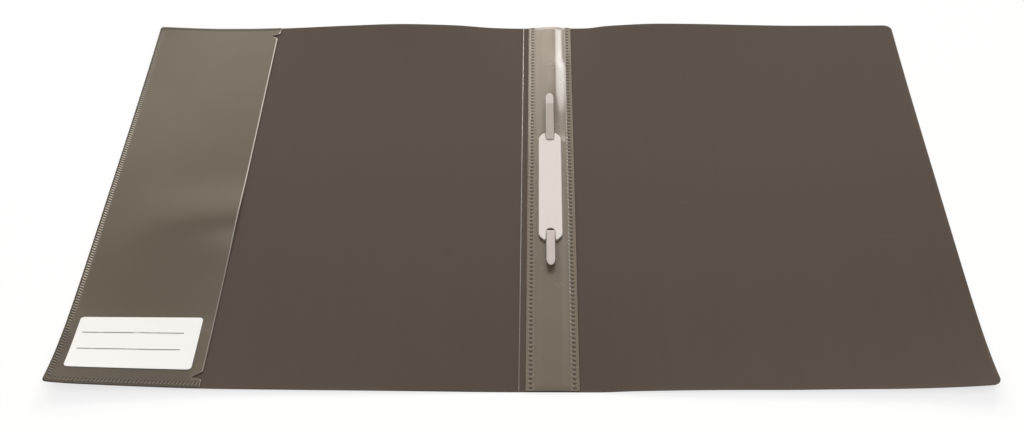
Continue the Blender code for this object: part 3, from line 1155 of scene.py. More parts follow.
@dataclass(frozen=True)
class SeamPath:
    """A path along a film's edge, in straight runs joined by arcs.

    The pocket's path goes round three sides; a straight seam is one run.
    """

    runs: tuple[tuple[Point, Point], ...]
    inward: tuple[Point, ...]
    corner: float = 0.0
    outline: float = 0.0
    rim: float = 0.8 * MM

    @property
    def pieces(self) -> list[float]:
        """Lengths of the runs and of the arcs between them, in order.

        Returns:
            The lengths.
        """
        lengths = []
        for k, (start, end) in enumerate(self.runs):
            if k:
                lengths.append(self.corner * math.pi / 2)
            lengths.append(math.dist(start, end))
        return lengths

    @property
    def length(self) -> float:
        """Length of the whole path."""
        return sum(self.pieces)

    def breaks(self) -> list[float]:
        """Where the path is parted: its ends and the middle of each arc.

        Returns:
            Distances along the path.
        """
        marks, run = [0.0], 0.0
        for k, part in enumerate(self.pieces):
            if k % 2:
                marks.append(run + part / 2)
            run += part
        return marks + [run]

    def at(self, along: float, inset: float) -> Point:
        """A place on the path.

        Args:
            along: Distance along the path.
            inset: Distance in from the film's edge.

        Returns:
            The place (x, y).
        """
        left = along
        for k, part in enumerate(self.pieces):
            if left > part and k < len(self.pieces) - 1:
                left -= part
                continue
            index = k // 2
            (x, y), end = self.runs[index]
            nx, ny = self.inward[index]
            if k % 2 == 0:
                share = left / part
                return (x + (end[0] - x) * share + nx * inset, y + (end[1] - y) * share + ny * inset)
            mx, my = self.inward[index + 1]
            turn = left / self.corner
            spare = (self.outward(turn) - self.corner) * max(1.0 - inset / self.rim, 0.0)
            reach = inset - self.corner - spare
            centre = (end[0] + nx * self.corner, end[1] + ny * self.corner)
            dx = nx * math.cos(turn) + mx * math.sin(turn)
            dy = ny * math.cos(turn) + my * math.sin(turn)
            return (centre[0] + dx * reach, centre[1] + dy * reach)
        return self.runs[-1][1]

    def outward(self, turn: float) -> float:
        """Distance from the centre of an arc to the film's outline, which turns more tightly.

        Args:
            turn: Angle along the arc.

        Returns:
            The distance.
        """
        across, down = math.cos(turn), math.sin(turn)
        off = self.corner - self.outline
        along = off * (across + down)
        inside = self.outline ** 2 - 2.0 * off ** 2 + along ** 2
        if inside >= 0.0:
            reach = along + math.sqrt(inside)
            if min(reach * across, reach * down) >= off:
                return reach
        return self.corner / max(across, down)


@dataclass(frozen=True)
class SeamTool:
    """The toothed tool that presses a film onto the sheet in a ladder of dimples.

    A tooth has shares of the pitch, each with how far it is pressed there.
    """

    pitch: float = 3.06 * MM
    depth: float = 0.17 * MM
    inset: float = 2.5 * MM
    half_floor: float = 0.78 * MM
    wall: float = 0.25 * MM
    band: float = 4.4 * MM
    edge: float = 0.35 * MM
    lip: float = 0.4
    rim_fused: float = 0.0
    ridge_matt: float = 0.2
    wall_matt: float = 0.45
    weld_wall: float = 0.6
    weld_columns: int = 4
    weld_sink: float = 0.12
    weld_rim: float = 0.25
    tooth: tuple[Point, ...] = ((0.0, 0.0), (0.22, 0.0), (0.34, 1.0), (0.5, 1.0), (0.66, 1.0), (0.78, 0.0))

    def stations(self, length: float) -> list[Point]:
        """Places along a seam with how far each is pressed.

        Args:
            length: Length of the seam.

        Returns:
            Pairs of distance along the seam and pressing from 0 to 1.
        """
        count = max(1, round(length / self.pitch))
        step = length / count
        marks = [((k + share) * step, press) for k in range(count) for share, press in self.tooth]
        return marks + [(length, 0.0)]

    def columns(self) -> list[Point]:
        """Places across a seam, from the film's edge, with how far each is pressed.

        Returns:
            Pairs of distance in from the edge and pressing from 0 to 1.
        """
        near, far = self.inset - self.half_floor, self.inset + self.half_floor
        border = [(c, 0.0) for c in (0.0, self.edge, near - self.wall)]
        floor = [(c, 1.0) for c in (near, self.inset, far)]
        return [*border, *floor, (far + self.wall, 0.0), (self.band, 0.0)]

    def skew(self, along: float, length: float, inset: float, slant: float) -> float:
        """Distance along a slanted seam, straight again at its ends.

        Args:
            along: Distance along the seam.
            length: Length of the seam.
            inset: Distance in from the film's edge.
            slant: Shift along the seam for each unit across it.

        Returns:
            The shifted distance.
        """
        ease = smooth(along / self.pitch) * smooth((length - along) / self.pitch)
        return min(max(along + slant * (inset - self.inset) * ease, 0.0), length)

    def dulled(self, inset: float, matt: float) -> float:
        """How matt the tool leaves the film round its dimples.

        Args:
            inset: Distance in from the film's edge.
            matt: How matt it is at the edge, from 0 to 1.

        Returns:
            How matt it is there.
        """
        if inset == self.band:
            return 0.0
        past = self.inset + self.half_floor + self.edge / 2
        return matt if inset < past else self.wall_matt * matt

    def press(self, layer: Layer, path: SeamPath, top: Height, slant: float, matt: float) -> Net:
        """Add the pressed margin of a film to its layer.

        Args:
            layer: Layer of the film.
            path: Path of the film's edge.
            top: Height of the film's top.
            slant: Slant of the teeth.
            matt: How matt the tool leaves the film, from 0 to 1.

        Returns:
            The margin's points, in rows across the seam.
        """
        rows = []
        for along, tooth in self.stations(path.length):
            row = []
            for inset, across in self.columns():
                x, y = path.at(self.skew(along, path.length, inset, slant), inset)
                # Ridges between the dimples carry a painted highlight, and the cut edge a painted highlight
                # on its lip.
                pressed, ridge = tooth * across, across * (1.0 - tooth)
                rim = self.rim_fused if inset < self.inset - self.half_floor else 0.0
                masks = {
                    Mask.FUSED: max(pressed, rim),
                    Mask.RIDGE_HIGHLIGHT: ridge,
                    Mask.LIP_HIGHLIGHT: self.lip if inset == 0.0 else 0.0,
                    Mask.MATT: max(self.dulled(inset, matt), self.ridge_matt * ridge, pressed),
                }
                row.append(layer.point(x, y, top(x, y) - self.depth * pressed, masks))
            rows.append(row)
        layer.grid(rows)
        return rows

    def weld(
        self, name: str, path: SeamPath, span: Point, under: Height, thickness: float, slant: float
    ) -> Piece:
        """Build the fused ribbon that lies under a film's dimples.

        Args:
            name: Piece name.
            path: Path of the film's edge.
            span: Start and end of the ribbon along the path.
            under: Height of the film's underside between the dimples.
            thickness: Thickness of the ribbon.
            slant: Slant of the teeth.

        Returns:
            The piece.
        """
        layer = Layer()
        reach = self.half_floor + self.wall * self.weld_wall
        rows = []
        for along, tooth in self.stations(path.length):
            if not span[0] <= along <= span[1]:
                continue
            row = []
            for inset in spread(self.inset - reach, self.inset + reach, self.weld_columns):
                x, y = path.at(self.skew(along, path.length, inset, slant), inset)
                drop = self.depth * tooth + thickness * self.weld_sink
                row.append(layer.point(x, y, under(x, y) - drop))
            rows.append(row)
        layer.grid(rows)
        return layer.sheet(name, thickness, thickness * self.weld_rim)


@dataclass
class FastenerFilm:
    """The clear film along the spine, pressed down at both edges and loose in its middle.

    The settle, narrow, glow and lip_fade pairs have the rows where each starts and ends.
    """

    left: float
    right: float
    half_length: float
    bar_half: float
    slit_x: float
    slit_y: float
    tool: SeamTool
    edge_top: float = 1.1 * MM
    middle_top: float = 1.3 * MM
    film: float = 0.2 * MM
    rim: float = 0.05 * MM
    weld_thick: float = 0.14 * MM
    shoulder: float = 5.0 * MM
    crest: float = 20.2 * MM
    foot: float = 0.7 * MM
    bulge: float = 0.9 * MM
    bulge_start: float = 6.0 * MM
    bulge_run: float = 46.0 * MM
    settle: Point = (112.0 * MM, 132.0 * MM)
    settle_by: float = 0.25
    pucker: float = 0.2 * MM
    pucker_at: float = 117.0 * MM
    pucker_reach: float = 5.5 * MM
    pucker_side: float = 4.0 * MM
    pucker_span: float = 10.0 * MM
    pucker_rows: int = 10
    pinch: float = 0.2 * MM
    pinch_spot: Point = (22.8 * MM, 41.0 * MM)
    pinch_reach: Point = (1.8 * MM, 2.2 * MM)
    pinch_ease: float = 2.0 * MM
    pinch_rows: tuple[float, ...] = (-1.5, -0.75, 0.75, 1.5)
    narrow: Point = (110.0 * MM, 124.0 * MM)
    narrow_by: float = 2.2 * MM
    slit_half: float = 1.1 * MM
    slit_half_width: float = 2.7 * MM
    slit_clear: Point = (0.4 * MM, 0.8 * MM)
    gap: float = 0.5 * MM
    columns: int = 22
    row_step: float = 4.0 * MM
    least_step: float = 0.1 * MM
    matt: Point = (0.35, 0.85)
    inner_glow: Point = (-10.0 * MM, 120.0 * MM)
    outer_glow: Point = (112.0 * MM, 132.0 * MM)
    glow_least: float = 0.08
    border_columns: int = 3
    border_glows: Point = (0.4, 0.6)
    near_matt: float = 0.8
    lip_fade: Point = (-110.0 * MM, 0.0)
    lip_least: float = 0.25

    def top(self, x: float, y: float) -> float:
        """Height of the film's top between the dimples.

        Args:
            x: Place across the folder.
            y: Place along the crease.

        Returns:
            The height in metres.
        """
        inner = self.tool.band
        nearest = min(x - self.left, self.right - x)
        rise = smooth((nearest - inner) / self.shoulder)
        height = self.edge_top + (self.middle_top - self.edge_top) * rise
        lift = smooth((y - self.bar_half - self.bulge_start) / self.bulge_run) * self.bulge
        lift *= 1.0 - self.settle_by * ramp(y, *self.settle)
        pucker = self.pucker * bell((y - self.pucker_at) / self.pucker_reach)
        start, end = self.left + inner, self.right - inner + self.foot
        end -= self.narrow_by * ramp(y, *self.narrow)
        spot, reach = self.pinch_spot, self.pinch_reach
        pinch = self.pinch * bell((x - spot[0]) / reach[0], (y - spot[1]) / reach[1])
        height += pinch * smooth((end - x) / self.pinch_ease)
        if start < x <= self.crest:
            height += lift * smooth((x - start) / (self.crest - start))
            height += pucker * smooth(1.0 - (self.crest - x) / self.pucker_side)
        elif self.crest < x < end:
            height += (lift + pucker) * (end - x) / (end - self.crest)
        return height

    def weather(self, layer: Layer, rows: Rows, outer: bool) -> None:
        """Paint highlights on a seam's ridges and lip, bright at the far end and fading toward the near
        one.

        Args:
            layer: Layer of the film.
            rows: The margin's points, in rows across the seam from the film's edge.
            outer: Whether it is the seam away from the crease.
        """
        ridge, lip, matt = (layer.masks[mask] for mask in (Mask.RIDGE_HIGHLIGHT, Mask.LIP_HIGHLIGHT, Mask.MATT))
        for row in rows:
            y = row[0].co.y
            glow = ramp(y, *(self.outer_glow if outer else self.inner_glow))
            glow = self.glow_least + (1.0 - self.glow_least) * glow
            for k, vert in enumerate(row):
                border = self.border_glows[outer] if k < self.border_columns else 0.0
                vert[ridge] = max(vert[ridge], border) * glow
                vert[lip] *= self.lip_least + (1.0 - self.lip_least) * ramp(y, *self.lip_fade)
                if not outer and k < len(row) - 1:
                    vert[matt] = max(vert[matt], self.near_matt * (1.0 - glow))

    def paths(self) -> tuple[SeamPath, SeamPath]:
        """Paths of the film's edges.

        Returns:
            The inner and the outer path.
        """
        half = self.half_length
        inner = SeamPath((((self.left, -half), (self.left, half)),), ((1.0, 0.0),))
        outer = SeamPath((((self.right, -half), (self.right, half)),), ((-1.0, 0.0),))
        return inner, outer

    def loose(self, layer: Layer) -> Net:
        """Add the film's loose middle, with its two slits left open.

        Args:
            layer: Layer of the film.

        Returns:
            Its points, in rows across the film.
        """
        clear_x, clear_y = self.slit_clear
        start, end = self.left + self.tool.band + self.gap, self.right - self.tool.band - self.gap
        slit = (self.slit_x - self.slit_half_width, self.slit_x + self.slit_half_width)
        across = spread(start, end, self.columns) + [self.crest]
        across = [x for x in across if all(abs(x - s) > clear_x for s in slit)] + list(slit)
        across = merged(across, self.least_step)
        cuts = (self.slit_y - self.slit_half, self.slit_y + self.slit_half)
        levels = spread(0.0, self.half_length, round(self.half_length / self.row_step))
        levels += [self.pinch_spot[1] + step * self.pinch_reach[1] for step in self.pinch_rows]
        first, last = self.pucker_at - self.pucker_span, self.pucker_at + self.pucker_span
        levels += spread(first, last, self.pucker_rows)
        levels = [y for y in levels if all(abs(y - c) > clear_y for c in cuts)] + list(cuts)
        levels = mirrored(merged(levels, self.least_step))
        rows = [[layer.point(x, y, self.top(x, y)) for x in across] for y in levels]
        skip = set()
        for j, y in enumerate(levels):
            if min(abs(y - cut) for cut in (cuts[0], -cuts[1])) < TINY:
                skip |= {(i, j) for i, x in enumerate(across) if slit[0] - TINY <= x < slit[1] - TINY}
        layer.grid(rows, skip)
        return rows

    def build(self) -> Piece:
        """Build the film as one sheet with two slits.

        Returns:
            The piece.
        """
        layer = Layer(*FILM_MASKS)
        chains = []
        for path, matt, outer in zip(self.paths(), self.matt, (False, True)):
            margin = self.tool.press(layer, path, self.top, 0.0, matt)
            self.weather(layer, margin, outer)
            chains.append([row[-1] for row in margin])
        rows = self.loose(layer)
        for chain, column in zip(chains, (0, -1)):
            layer.stitch(chain, [row[column] for row in rows])
        return layer.sheet("strip_film", self.film, self.rim)

    def dress(self, finishes: Finishes) -> list[Piece]:
        """Build the film and its two fused ribbons.

        Args:
            finishes: Finishes of the folder.

        Returns:
            The pieces.
        """
        made = [placed(self.build(), Body.BACK, ["fastener_film"], finishes.strip)]
        for side, path in zip(("inner", "outer"), self.paths()):
            ribbon = self.tool.weld(
                f"strip_seam_{side}", path, (0.0, path.length), lambda x, y: self.edge_top - self.film,
                self.weld_thick, 0.0,
            )
            made.append(placed(ribbon, Body.BACK, [f"film_weld_{side}"], finishes.weld))
        return made


@dataclass
class Pocket:
    """The clear pocket on the front cover, open toward the spine, with a notch at each end of its mouth.

    Pairs for notches, tabs, ticks and dimples are for the far end and the near end. The lip's rise has
    the rows where it starts and ends.
    """

    bow: SheetBow
    mouth: float
    tab: float
    tool: SeamTool
    edge_gap: float = 0.3 * MM
    corner: float = 4.7 * MM
    outline: float = 1.9 * MM
    notch_depths: Point = (4.7 * MM, 5.5 * MM)
    notch_marks: tuple[Triple, ...] = (
        (12.0 * MM, 8.6 * MM, 6.8 * MM), (11.2 * MM, 6.9 * MM, 5.5 * MM),
    )
    notch_margin: float = 1.2 * MM
    tab_backs: Point = (0.0, 1.0 * MM)
    over: float = 1.1 * MM
    film: float = 0.2 * MM
    rim: float = 0.05 * MM
    weld_thick: float = 0.14 * MM
    slant: float = 0.45
    billow: float = 0.12 * MM
    billow_waves: Point = (60.0 * MM, 24.0 * MM)
    billow_runs: Triple = (30.0 * MM, 25.0 * MM, 30.0 * MM)
    swell: float = 1.0 * MM
    swell_y: float = -27.0 * MM
    swell_reach: Point = (34.0 * MM, 15.0 * MM)
    label_clear: float = -96.0 * MM
    seam_matt: float = 0.3
    tick_shares: Point = (0.16, 0.6)
    tick_fades: Point = (0.4, 0.65)
    tick_fade_runs: tuple[Point, Point] = ((40.0 * MM, 110.0 * MM), (70.0 * MM, 110.0 * MM))
    tab_highlights: Point = (1.0, 0.45)
    dimple_shares: Point = (1.0, 0.65)
    top_band: float = 3.4 * MM
    top_fused: float = 0.22
    tuck: float = 0.42 * MM
    tuck_reach: float = 0.85 * MM
    tuck_highlight: float = 0.2
    dull_from: float = -104.0 * MM
    dull_run: float = 20.0 * MM
    dull_most: float = 0.9
    # Painted shade toward the near outer corner, carried by the fused mask.
    corner_shade_most: float = 0.4
    corner_shade_from: float = 130.0 * MM
    corner_shade_run: float = 60.0 * MM
    lip_rise: Point = (-60.0 * MM, 10.0 * MM)
    lip_least: float = 0.28
    lip_from: float = 0.9
    mouth_shares: tuple[float, ...] = (0.35, 0.7, 0.88, 0.945, 1.0)
    gap: float = 0.8 * MM
    columns: int = 26
    row_step: float = 3.5 * MM
    least_step: float = 0.2 * MM

    def edge(self, y: float) -> float:
        """Distance of the mouth edge from the crease.

        Args:
            y: Place along the crease.

        Returns:
            The distance.
        """
        down = self.bow.half_height - abs(y)
        wide, apex, low = self.notch_marks[y < 0]
        deep = self.mouth + self.notch_depths[y < 0]
        tab = self.tab + self.tab_backs[y < 0]
        if down >= wide:
            return self.mouth
        if down <= low:
            return tab
        if down >= apex:
            return self.mouth + (deep - self.mouth) * (wide - down) / (wide - apex)
        return tab + (deep - tab) * (down - low) / (apex - low)

    def top(self, x: float, y: float) -> float:
        """Height of the film's top between the dimples.

        Args:
            x: Place across the folder.
            y: Place along the crease.

        Returns:
            The height in metres.
        """
        side_run, end_run, label_run = self.billow_runs
        free = smooth((self.bow.width + x - self.tool.band) / side_run)
        free *= smooth((self.bow.half_height - abs(y) - self.tool.band) / end_run)
        free *= smooth((y - self.label_clear) / label_run)
        across, along = self.billow_waves
        wave = self.billow * (0.5 + 0.5 * math.sin(y / along + x / across))
        wide, long = self.swell_reach
        swell = self.swell * bell((x + self.mouth) / wide, (y - self.swell_y) / long)
        return self.bow.height(x, y) + self.over + free * (wave + swell)

    def lit(self, y: float) -> float:
        """How brightly the cut edge of the mouth catches the light at a row."""
        return self.lip_least + (1.0 - self.lip_least) * ramp(y, *self.lip_rise)

    def dull(self, y: float) -> float:
        """How matt the film has been rubbed at a row, most at its near end."""
        return self.dull_most * smooth((self.dull_from - y) / self.dull_run)

    def corner_shade(self, x: float, y: float) -> float:
        """How much painted shade darkens the film at a place, most in the near outer corner."""
        near = smooth((self.dull_from - y) / self.dull_run)
        return self.corner_shade_most * near * smooth((-x - self.corner_shade_from) / self.corner_shade_run)

    def path(self) -> SeamPath:
        """Path of the film's three pressed edges, from the far end of the mouth to its near end.

        Returns:
            The path.
        """
        outer = self.bow.width - self.edge_gap
        half = self.bow.half_height - self.edge_gap
        turn = self.corner
        runs = (
            ((-self.tab - self.tab_backs[0], half), (-outer + turn, half)),
            ((-outer, half - turn), (-outer, -half + turn)),
            ((-outer + turn, -half), (-self.tab - self.tab_backs[1], -half)),
        )
        return SeamPath(runs, ((0.0, -1.0), (1.0, 0.0), (0.0, 1.0)), turn, self.outline)

    def weather(self, layer: Layer, margin: Rows) -> None:
        """Fade the painted highlight on the margin's ridges, tuck its near border onto the cover with a
        painted highlight on its edge, paint highlights on the tabs' ends and paint shade toward the near
        outer corner.

        Args:
            layer: Layer of the film.
            margin: The margin's points, in rows across the seam.
        """
        fused, ridge, lip, matt = (layer.masks[mask] for mask in FILM_MASKS)
        for end, share in zip((margin[0], margin[-1]), self.tab_highlights):
            for vert in end:
                vert[lip] = share
        for vert in (vert for row in margin for vert in row):
            x, y, _ = vert.co
            down = self.bow.half_height - abs(y)
            near = y < 0
            vert[ridge] *= 1.0 - self.tick_fades[near] * ramp(abs(y), *self.tick_fade_runs[near])
            if down < self.corner:
                vert[ridge] *= self.tick_shares[near]
                vert[fused] *= self.dimple_shares[near]
            if down < self.top_band and y > 0 and vert[fused] < 1.0:
                vert[fused] = self.top_fused
            if near and down < self.edge_gap + self.tuck_reach:
                tucked = smooth(1.0 - (down - self.edge_gap) / self.tuck_reach)
                vert.co.z -= self.tuck * tucked
                vert[fused] = 0.0
                # Painted highlight on the tucked near border.
                vert[lip] = max(vert[lip], self.tuck_highlight * tucked ** 3)
            # Painted shade toward the near outer corner.
            vert[fused] = max(vert[fused], self.corner_shade(x, y))
            vert[matt] = max(vert[matt], self.dull(y))

    def loose(self, layer: Layer) -> Net:
        """Add the film's loose middle, out to its mouth.

        Args:
            layer: Layer of the film.

        Returns:
            Its points, in rows across the film.
        """
        reach = self.edge_gap + self.tool.band + self.gap
        half = self.bow.half_height - reach
        inner = self.mouth + max(self.notch_depths) + self.notch_margin
        stations = spread(self.bow.width - reach, inner, self.columns)
        levels = spread(0.0, self.bow.half_height - self.notch_marks[0][0], round(half / self.row_step))
        levels += [self.bow.half_height - mark for marks in self.notch_marks for mark in marks] + [half]
        rows = []
        for y in mirrored(merged(levels, self.least_step)):
            edge, matt = self.edge(y), self.dull(y)
            row = []
            for s in stations:
                # Painted shade toward the near outer corner.
                masks = {Mask.MATT: matt, Mask.FUSED: self.corner_shade(-s, y)}
                row.append(layer.point(-s, y, self.top(-s, y), masks))
            for share in self.mouth_shares:
                s = inner + (edge - inner) * share
                # Painted highlight along the mouth's cut edge.
                masks = {Mask.MATT: matt, Mask.LIP_HIGHLIGHT: self.lit(y) if share > self.lip_from else 0.0}
                row.append(layer.point(-s, y, self.top(-s, y), masks))
            rows.append(row)
        layer.grid(rows)
        return rows

    def build(self) -> Piece:
        """Build the film as one sheet.

        Returns:
            The piece.
        """
        layer = Layer(*FILM_MASKS)
        path = self.path()
        margin = self.tool.press(layer, path, self.top, self.slant, self.seam_matt)
        self.weather(layer, margin)
        rows = self.loose(layer)
        chain = [row[-1] for row in margin]
        places = [along for along, _ in self.tool.stations(path.length)]
        cuts = [min(range(len(places)), key=lambda k: abs(places[k] - mark)) for mark in path.breaks()]
        sides = (rows[-1][::-1], [row[0] for row in reversed(rows)], rows[0])
        for first, last, side in zip(cuts, cuts[1:], sides):
            layer.stitch(chain[first:last + 1], side)
        return layer.sheet("pocket_sheet", self.film, self.rim)

    def dress(self, finishes: Finishes) -> list[Piece]:
        """Build the film and its three fused ribbons.

        Args:
            finishes: Finishes of the folder.

        Returns:
            The pieces.
        """
        made = [placed(self.build(), Body.FRONT, ["pocket_film"], finishes.pocket)]
        path = self.path()
        marks = path.breaks()
        for side, span in zip(("top", "side", "bottom"), zip(marks, marks[1:])):
            ribbon = self.tool.weld(
                f"pocket_seam_{side}", path, span, lambda x, y: self.top(x, y) - self.film,
                self.weld_thick, self.slant,
            )
            made.append(placed(ribbon, Body.FRONT, [f"pocket_weld_{side}"], finishes.weld))
        return made


@dataclass
class Sticker:
    """The paper label on the pocket with two plain writing lines."""

    bow: SheetBow
    low: Vector
    high: Vector
    over: float = 1.40 * MM
    thickness: float = 0.14 * MM
    corner: float = 2.0 * MM
    corner_margin: float = 0.5 * MM
    corner_steps: int = 6
    rim: float = 0.03 * MM
    wear_reach: float = 0.6 * MM
    line_drops: tuple[float, ...] = (11.4 * MM, 23.4 * MM)
    line_start: float = 3.25 * MM
    line_length: float = 53.45 * MM
    line_width: float = 0.7 * MM
    columns: int = 24
    rows: int = 18
    edge_shares: Point = (0.15, 0.5)

    def finish(self) -> PaperFinish:
        """Finish of the paper, with its lines placed on the label.

        Returns:
            The finish.
        """
        start = self.low.x + self.line_start
        lines = tuple(self.high.y - drop for drop in self.line_drops)
        return PaperFinish(
            "label_paper_ruled", paper=(0.97, 0.965, 0.95), ink=(0.13, 0.13, 0.13), lines=lines,
            start=start, end=start + self.line_length, line_width=self.line_width,
        )

    def build(self) -> Piece:
        """Build the label as a thin sheet with round corners.

        Returns:
            The piece.
        """
        middle = (self.low.y + self.high.y) / 2
        half = (self.high.y - self.low.y) / 2
        reach = self.corner + self.corner_margin
        inner = spread(self.low.x + reach, self.high.x - reach, self.columns)
        levels = spread(0.0, half - self.corner, self.rows // 2)
        levels += corner_rows(half, self.corner, self.corner_steps)
        layer = Layer(Mask.RIM)
        rows = []
        for dy in mirrored(merged(levels)):
            pull = round_edge(half, self.corner, dy)
            left, right = self.low.x + pull, self.high.x - pull
            shares = self.edge_shares
            across = [left] + [left + (inner[0] - left) * share for share in shares] + inner
            across += [right - (right - inner[-1]) * share for share in reversed(shares)] + [right]
            row = []
            for x in across:
                near = min(x - left, right - x, half - abs(dy))
                z = self.bow.height(x, middle + dy) + self.over
                row.append(layer.point(x, middle + dy, z, {Mask.RIM: math.exp(-near / self.wear_reach)}))
            rows.append(row)
        layer.grid(rows)
        return layer.sheet("label_sticker", self.thickness, self.rim)

    def dress(self, finishes: Finishes) -> Piece:
        """Build the label and put it on the pocket."""
        return placed(self.build(), Body.FRONT, ["label"], finishes.paper)


@dataclass
class Tongue:
    """One free tongue of the fastening strip."""

    name: str
    node: str
    body: Body
    pivot: Vector
    way: int
    free: float
    tip: float
    start: float
    dip: float = 0.0
    dip_run: float = 1.6 * MM
    width: float = 4.7 * MM
    thickness: float = 0.5 * MM
    slope: float = math.radians(2.5)
    rim: float = 0.16 * MM
    tip_round: float = 5.0 * MM
    tip_flat: float = 0.5 * MM
    tip_bend: float = 1.6 * MM
    tip_edge: float = 0.05 * MM
    round_steps: int = 16
    root_step: float = 0.45 * MM
    step: float = 1.6 * MM
    least_step: float = 0.04 * MM
    fold_reach: float = 0.9 * MM
    across: tuple[float, ...] = (-1.0, -0.82, -0.4, 0.0, 0.4, 0.82, 1.0)

    def rise(self, along: float) -> float:
        """Height of the tongue's middle over its fold line, at a distance from it."""
        return self.line(max(along, 0.0)) - self.dip * (1.0 - smooth(along / self.dip_run))

    def line(self, along: float) -> float:
        """Height of the sloping tongue, level again at a tip that lies under the film.

        Args:
            along: Distance from the fold line.

        Returns:
            The height over the fold line.
        """
        straight = self.free - self.tip
        bend = self.tip_bend
        if not self.tip or along <= straight - bend:
            return along * math.tan(self.slope)
        past = min((along - straight + bend) / (2 * bend), 1.0)
        level = (straight - bend) * math.tan(self.slope)
        return level + 2 * bend * math.tan(self.slope) * (past - past * past / 2)

    def marks(self) -> list[float]:
        """Places along the tongue where it gets a row of points.

        Returns:
            Distances from the fold line.
        """
        straight = self.free - self.tip_round
        tip = self.free - self.tip
        marks = spread(self.start, straight, round(straight / self.step))
        marks += [self.start + self.root_step, tip - self.tip_edge, tip + self.tip_edge]
        marks += corner_rows(self.free, self.tip_round, self.round_steps)
        return merged([mark for mark in marks if mark <= self.free], self.least_step)

    def build(self) -> Piece:
        """Build the tongue with a round tip and rounded edges.

        Returns:
            The piece.
        """
        layer = Layer(*STRIP_MASKS)
        rows = []
        for mark in self.marks():
            pull = round_edge(self.free, self.tip_round, mark) / self.tip_round
            reach = max(self.width / 2 * (1.0 - pull), self.tip_flat / 2)
            y = self.pivot.y + self.way * mark
            z = self.pivot.z + self.rise(mark)
            # Painted highlight: the level tip is painted pale.
            tip = float(bool(self.tip) and mark > self.free - self.tip)
            fold = math.exp(-max(mark, 0.0) / self.fold_reach) if self.start >= 0.0 else 0.0
            row = []
            for share in self.across:
                masks = {Mask.TIP: tip, Mask.FOLD_WHITE_AND_LIGHT: fold, Mask.RIM: float(abs(share) == 1.0)}
                row.append(layer.point(self.pivot.x + reach * share, y, z, masks))
            rows.append(row)
        layer.grid(rows)
        return layer.sheet(self.name, self.thickness, self.rim, way=0.0)

    def dress(self, finishes: Finishes) -> Piece:
        """Build the tongue and put it on its own body."""
        # The tongue with a tip is the upper one, whose grey carries painted shade.
        finish = finishes.painted_shade if self.tip else finishes.tongue
        return placed(self.build(), self.body, [self.node], finish)


@dataclass
class FasteningStrip:
    """The strip's middle under the film, with a riser bent up through each slit.

    A riser has places from its fold line, each with its share of the rise.
    """

    x: float
    low: float
    top: float
    half_length: float
    width: float = 4.7 * MM
    thickness: float = 0.4 * MM
    rim: float = 0.1 * MM
    flat_steps: int = 16
    curve_steps: int = 3
    lead: float = 0.5 * MM
    fold_white_and_painted_light: float = 0.5
    fold_from: float = 0.8
    across: tuple[float, ...] = (-1.0, -0.5, 0.0, 0.5, 1.0)
    far_riser: tuple[Point, ...] = (
        (-1.15 * MM, 0.0), (-0.80 * MM, 0.05), (-0.68 * MM, 0.20), (-0.90 * MM, 0.38), (-1.35 * MM, 0.58),
        (-1.60 * MM, 0.80), (-1.45 * MM, 0.95), (-0.80 * MM, 1.0), (0.0, 1.0),
    )
    near_riser: tuple[Point, ...] = (
        (-1.15 * MM, 0.0), (-0.70 * MM, 0.05), (-0.35 * MM, 0.20), (-0.05 * MM, 0.45), (0.10 * MM, 0.72),
        (0.16 * MM, 0.90), (0.18 * MM, 1.0),
    )

    def line(self, riser: tuple[Point, ...]) -> list[Point]:
        """Middle line of one half.

        Args:
            riser: Places of the riser from the fold line, each with its share of the rise.

        Returns:
            Places (y, z) from the middle of the strip to the top of the riser.
        """
        level = self.low + self.thickness / 2
        start = self.half_length + riser[0][0]
        points = [(y, level) for y in spread(0.0, start, self.flat_steps)[:-1]]
        rise = self.top - level
        marks = [Vector((self.half_length + y, level + rise * share, 0.0)) for y, share in riser]
        lead = Vector((self.lead, 0.0, 0.0))
        guides = [marks[0] - lead, *marks, marks[-1] + lead]
        for a, b, c, d in zip(guides, guides[1:], guides[2:], guides[3:]):
            square, cube = 2 * a - 5 * b + 4 * c - d, 3 * b - a - 3 * c + d
            for t in spread(0.0, 1.0, self.curve_steps)[:-1]:
                spot = 0.5 * (2 * b + (c - a) * t + square * t ** 2 + cube * t ** 3)
                points.append((spot.x, spot.y))
        return points + [(marks[-1].x, marks[-1].y)]

    def build(self) -> Piece:
        """Build the strip as one bent ribbon.

        Returns:
            The piece.
        """
        near = [(-y, z) for y, z in reversed(self.line(self.near_riser)[1:])]
        layer = Layer(*STRIP_MASKS)
        rows = []
        for y, z in near + self.line(self.far_riser):
            # The riser's top is painted pale: whitening at its bend and painted light on its shaded top.
            fold = self.fold_white_and_painted_light if z > self.top * self.fold_from else 0.0
            row = []
            for share in self.across:
                masks = {Mask.RIM: float(abs(share) == 1.0), Mask.FOLD_WHITE_AND_LIGHT: fold}
                row.append(layer.point(self.x + share * self.width / 2, y, z, masks))
            rows.append(row)
        layer.grid(rows)
        return layer.sheet("fastening_strip", self.thickness, self.rim, way=0.0)

    def dress(self, finishes: Finishes) -> Piece:
        """Build the strip and put it on the back cover."""
        return placed(self.build(), Body.BACK, ["tongue_strip"], finishes.tongue)


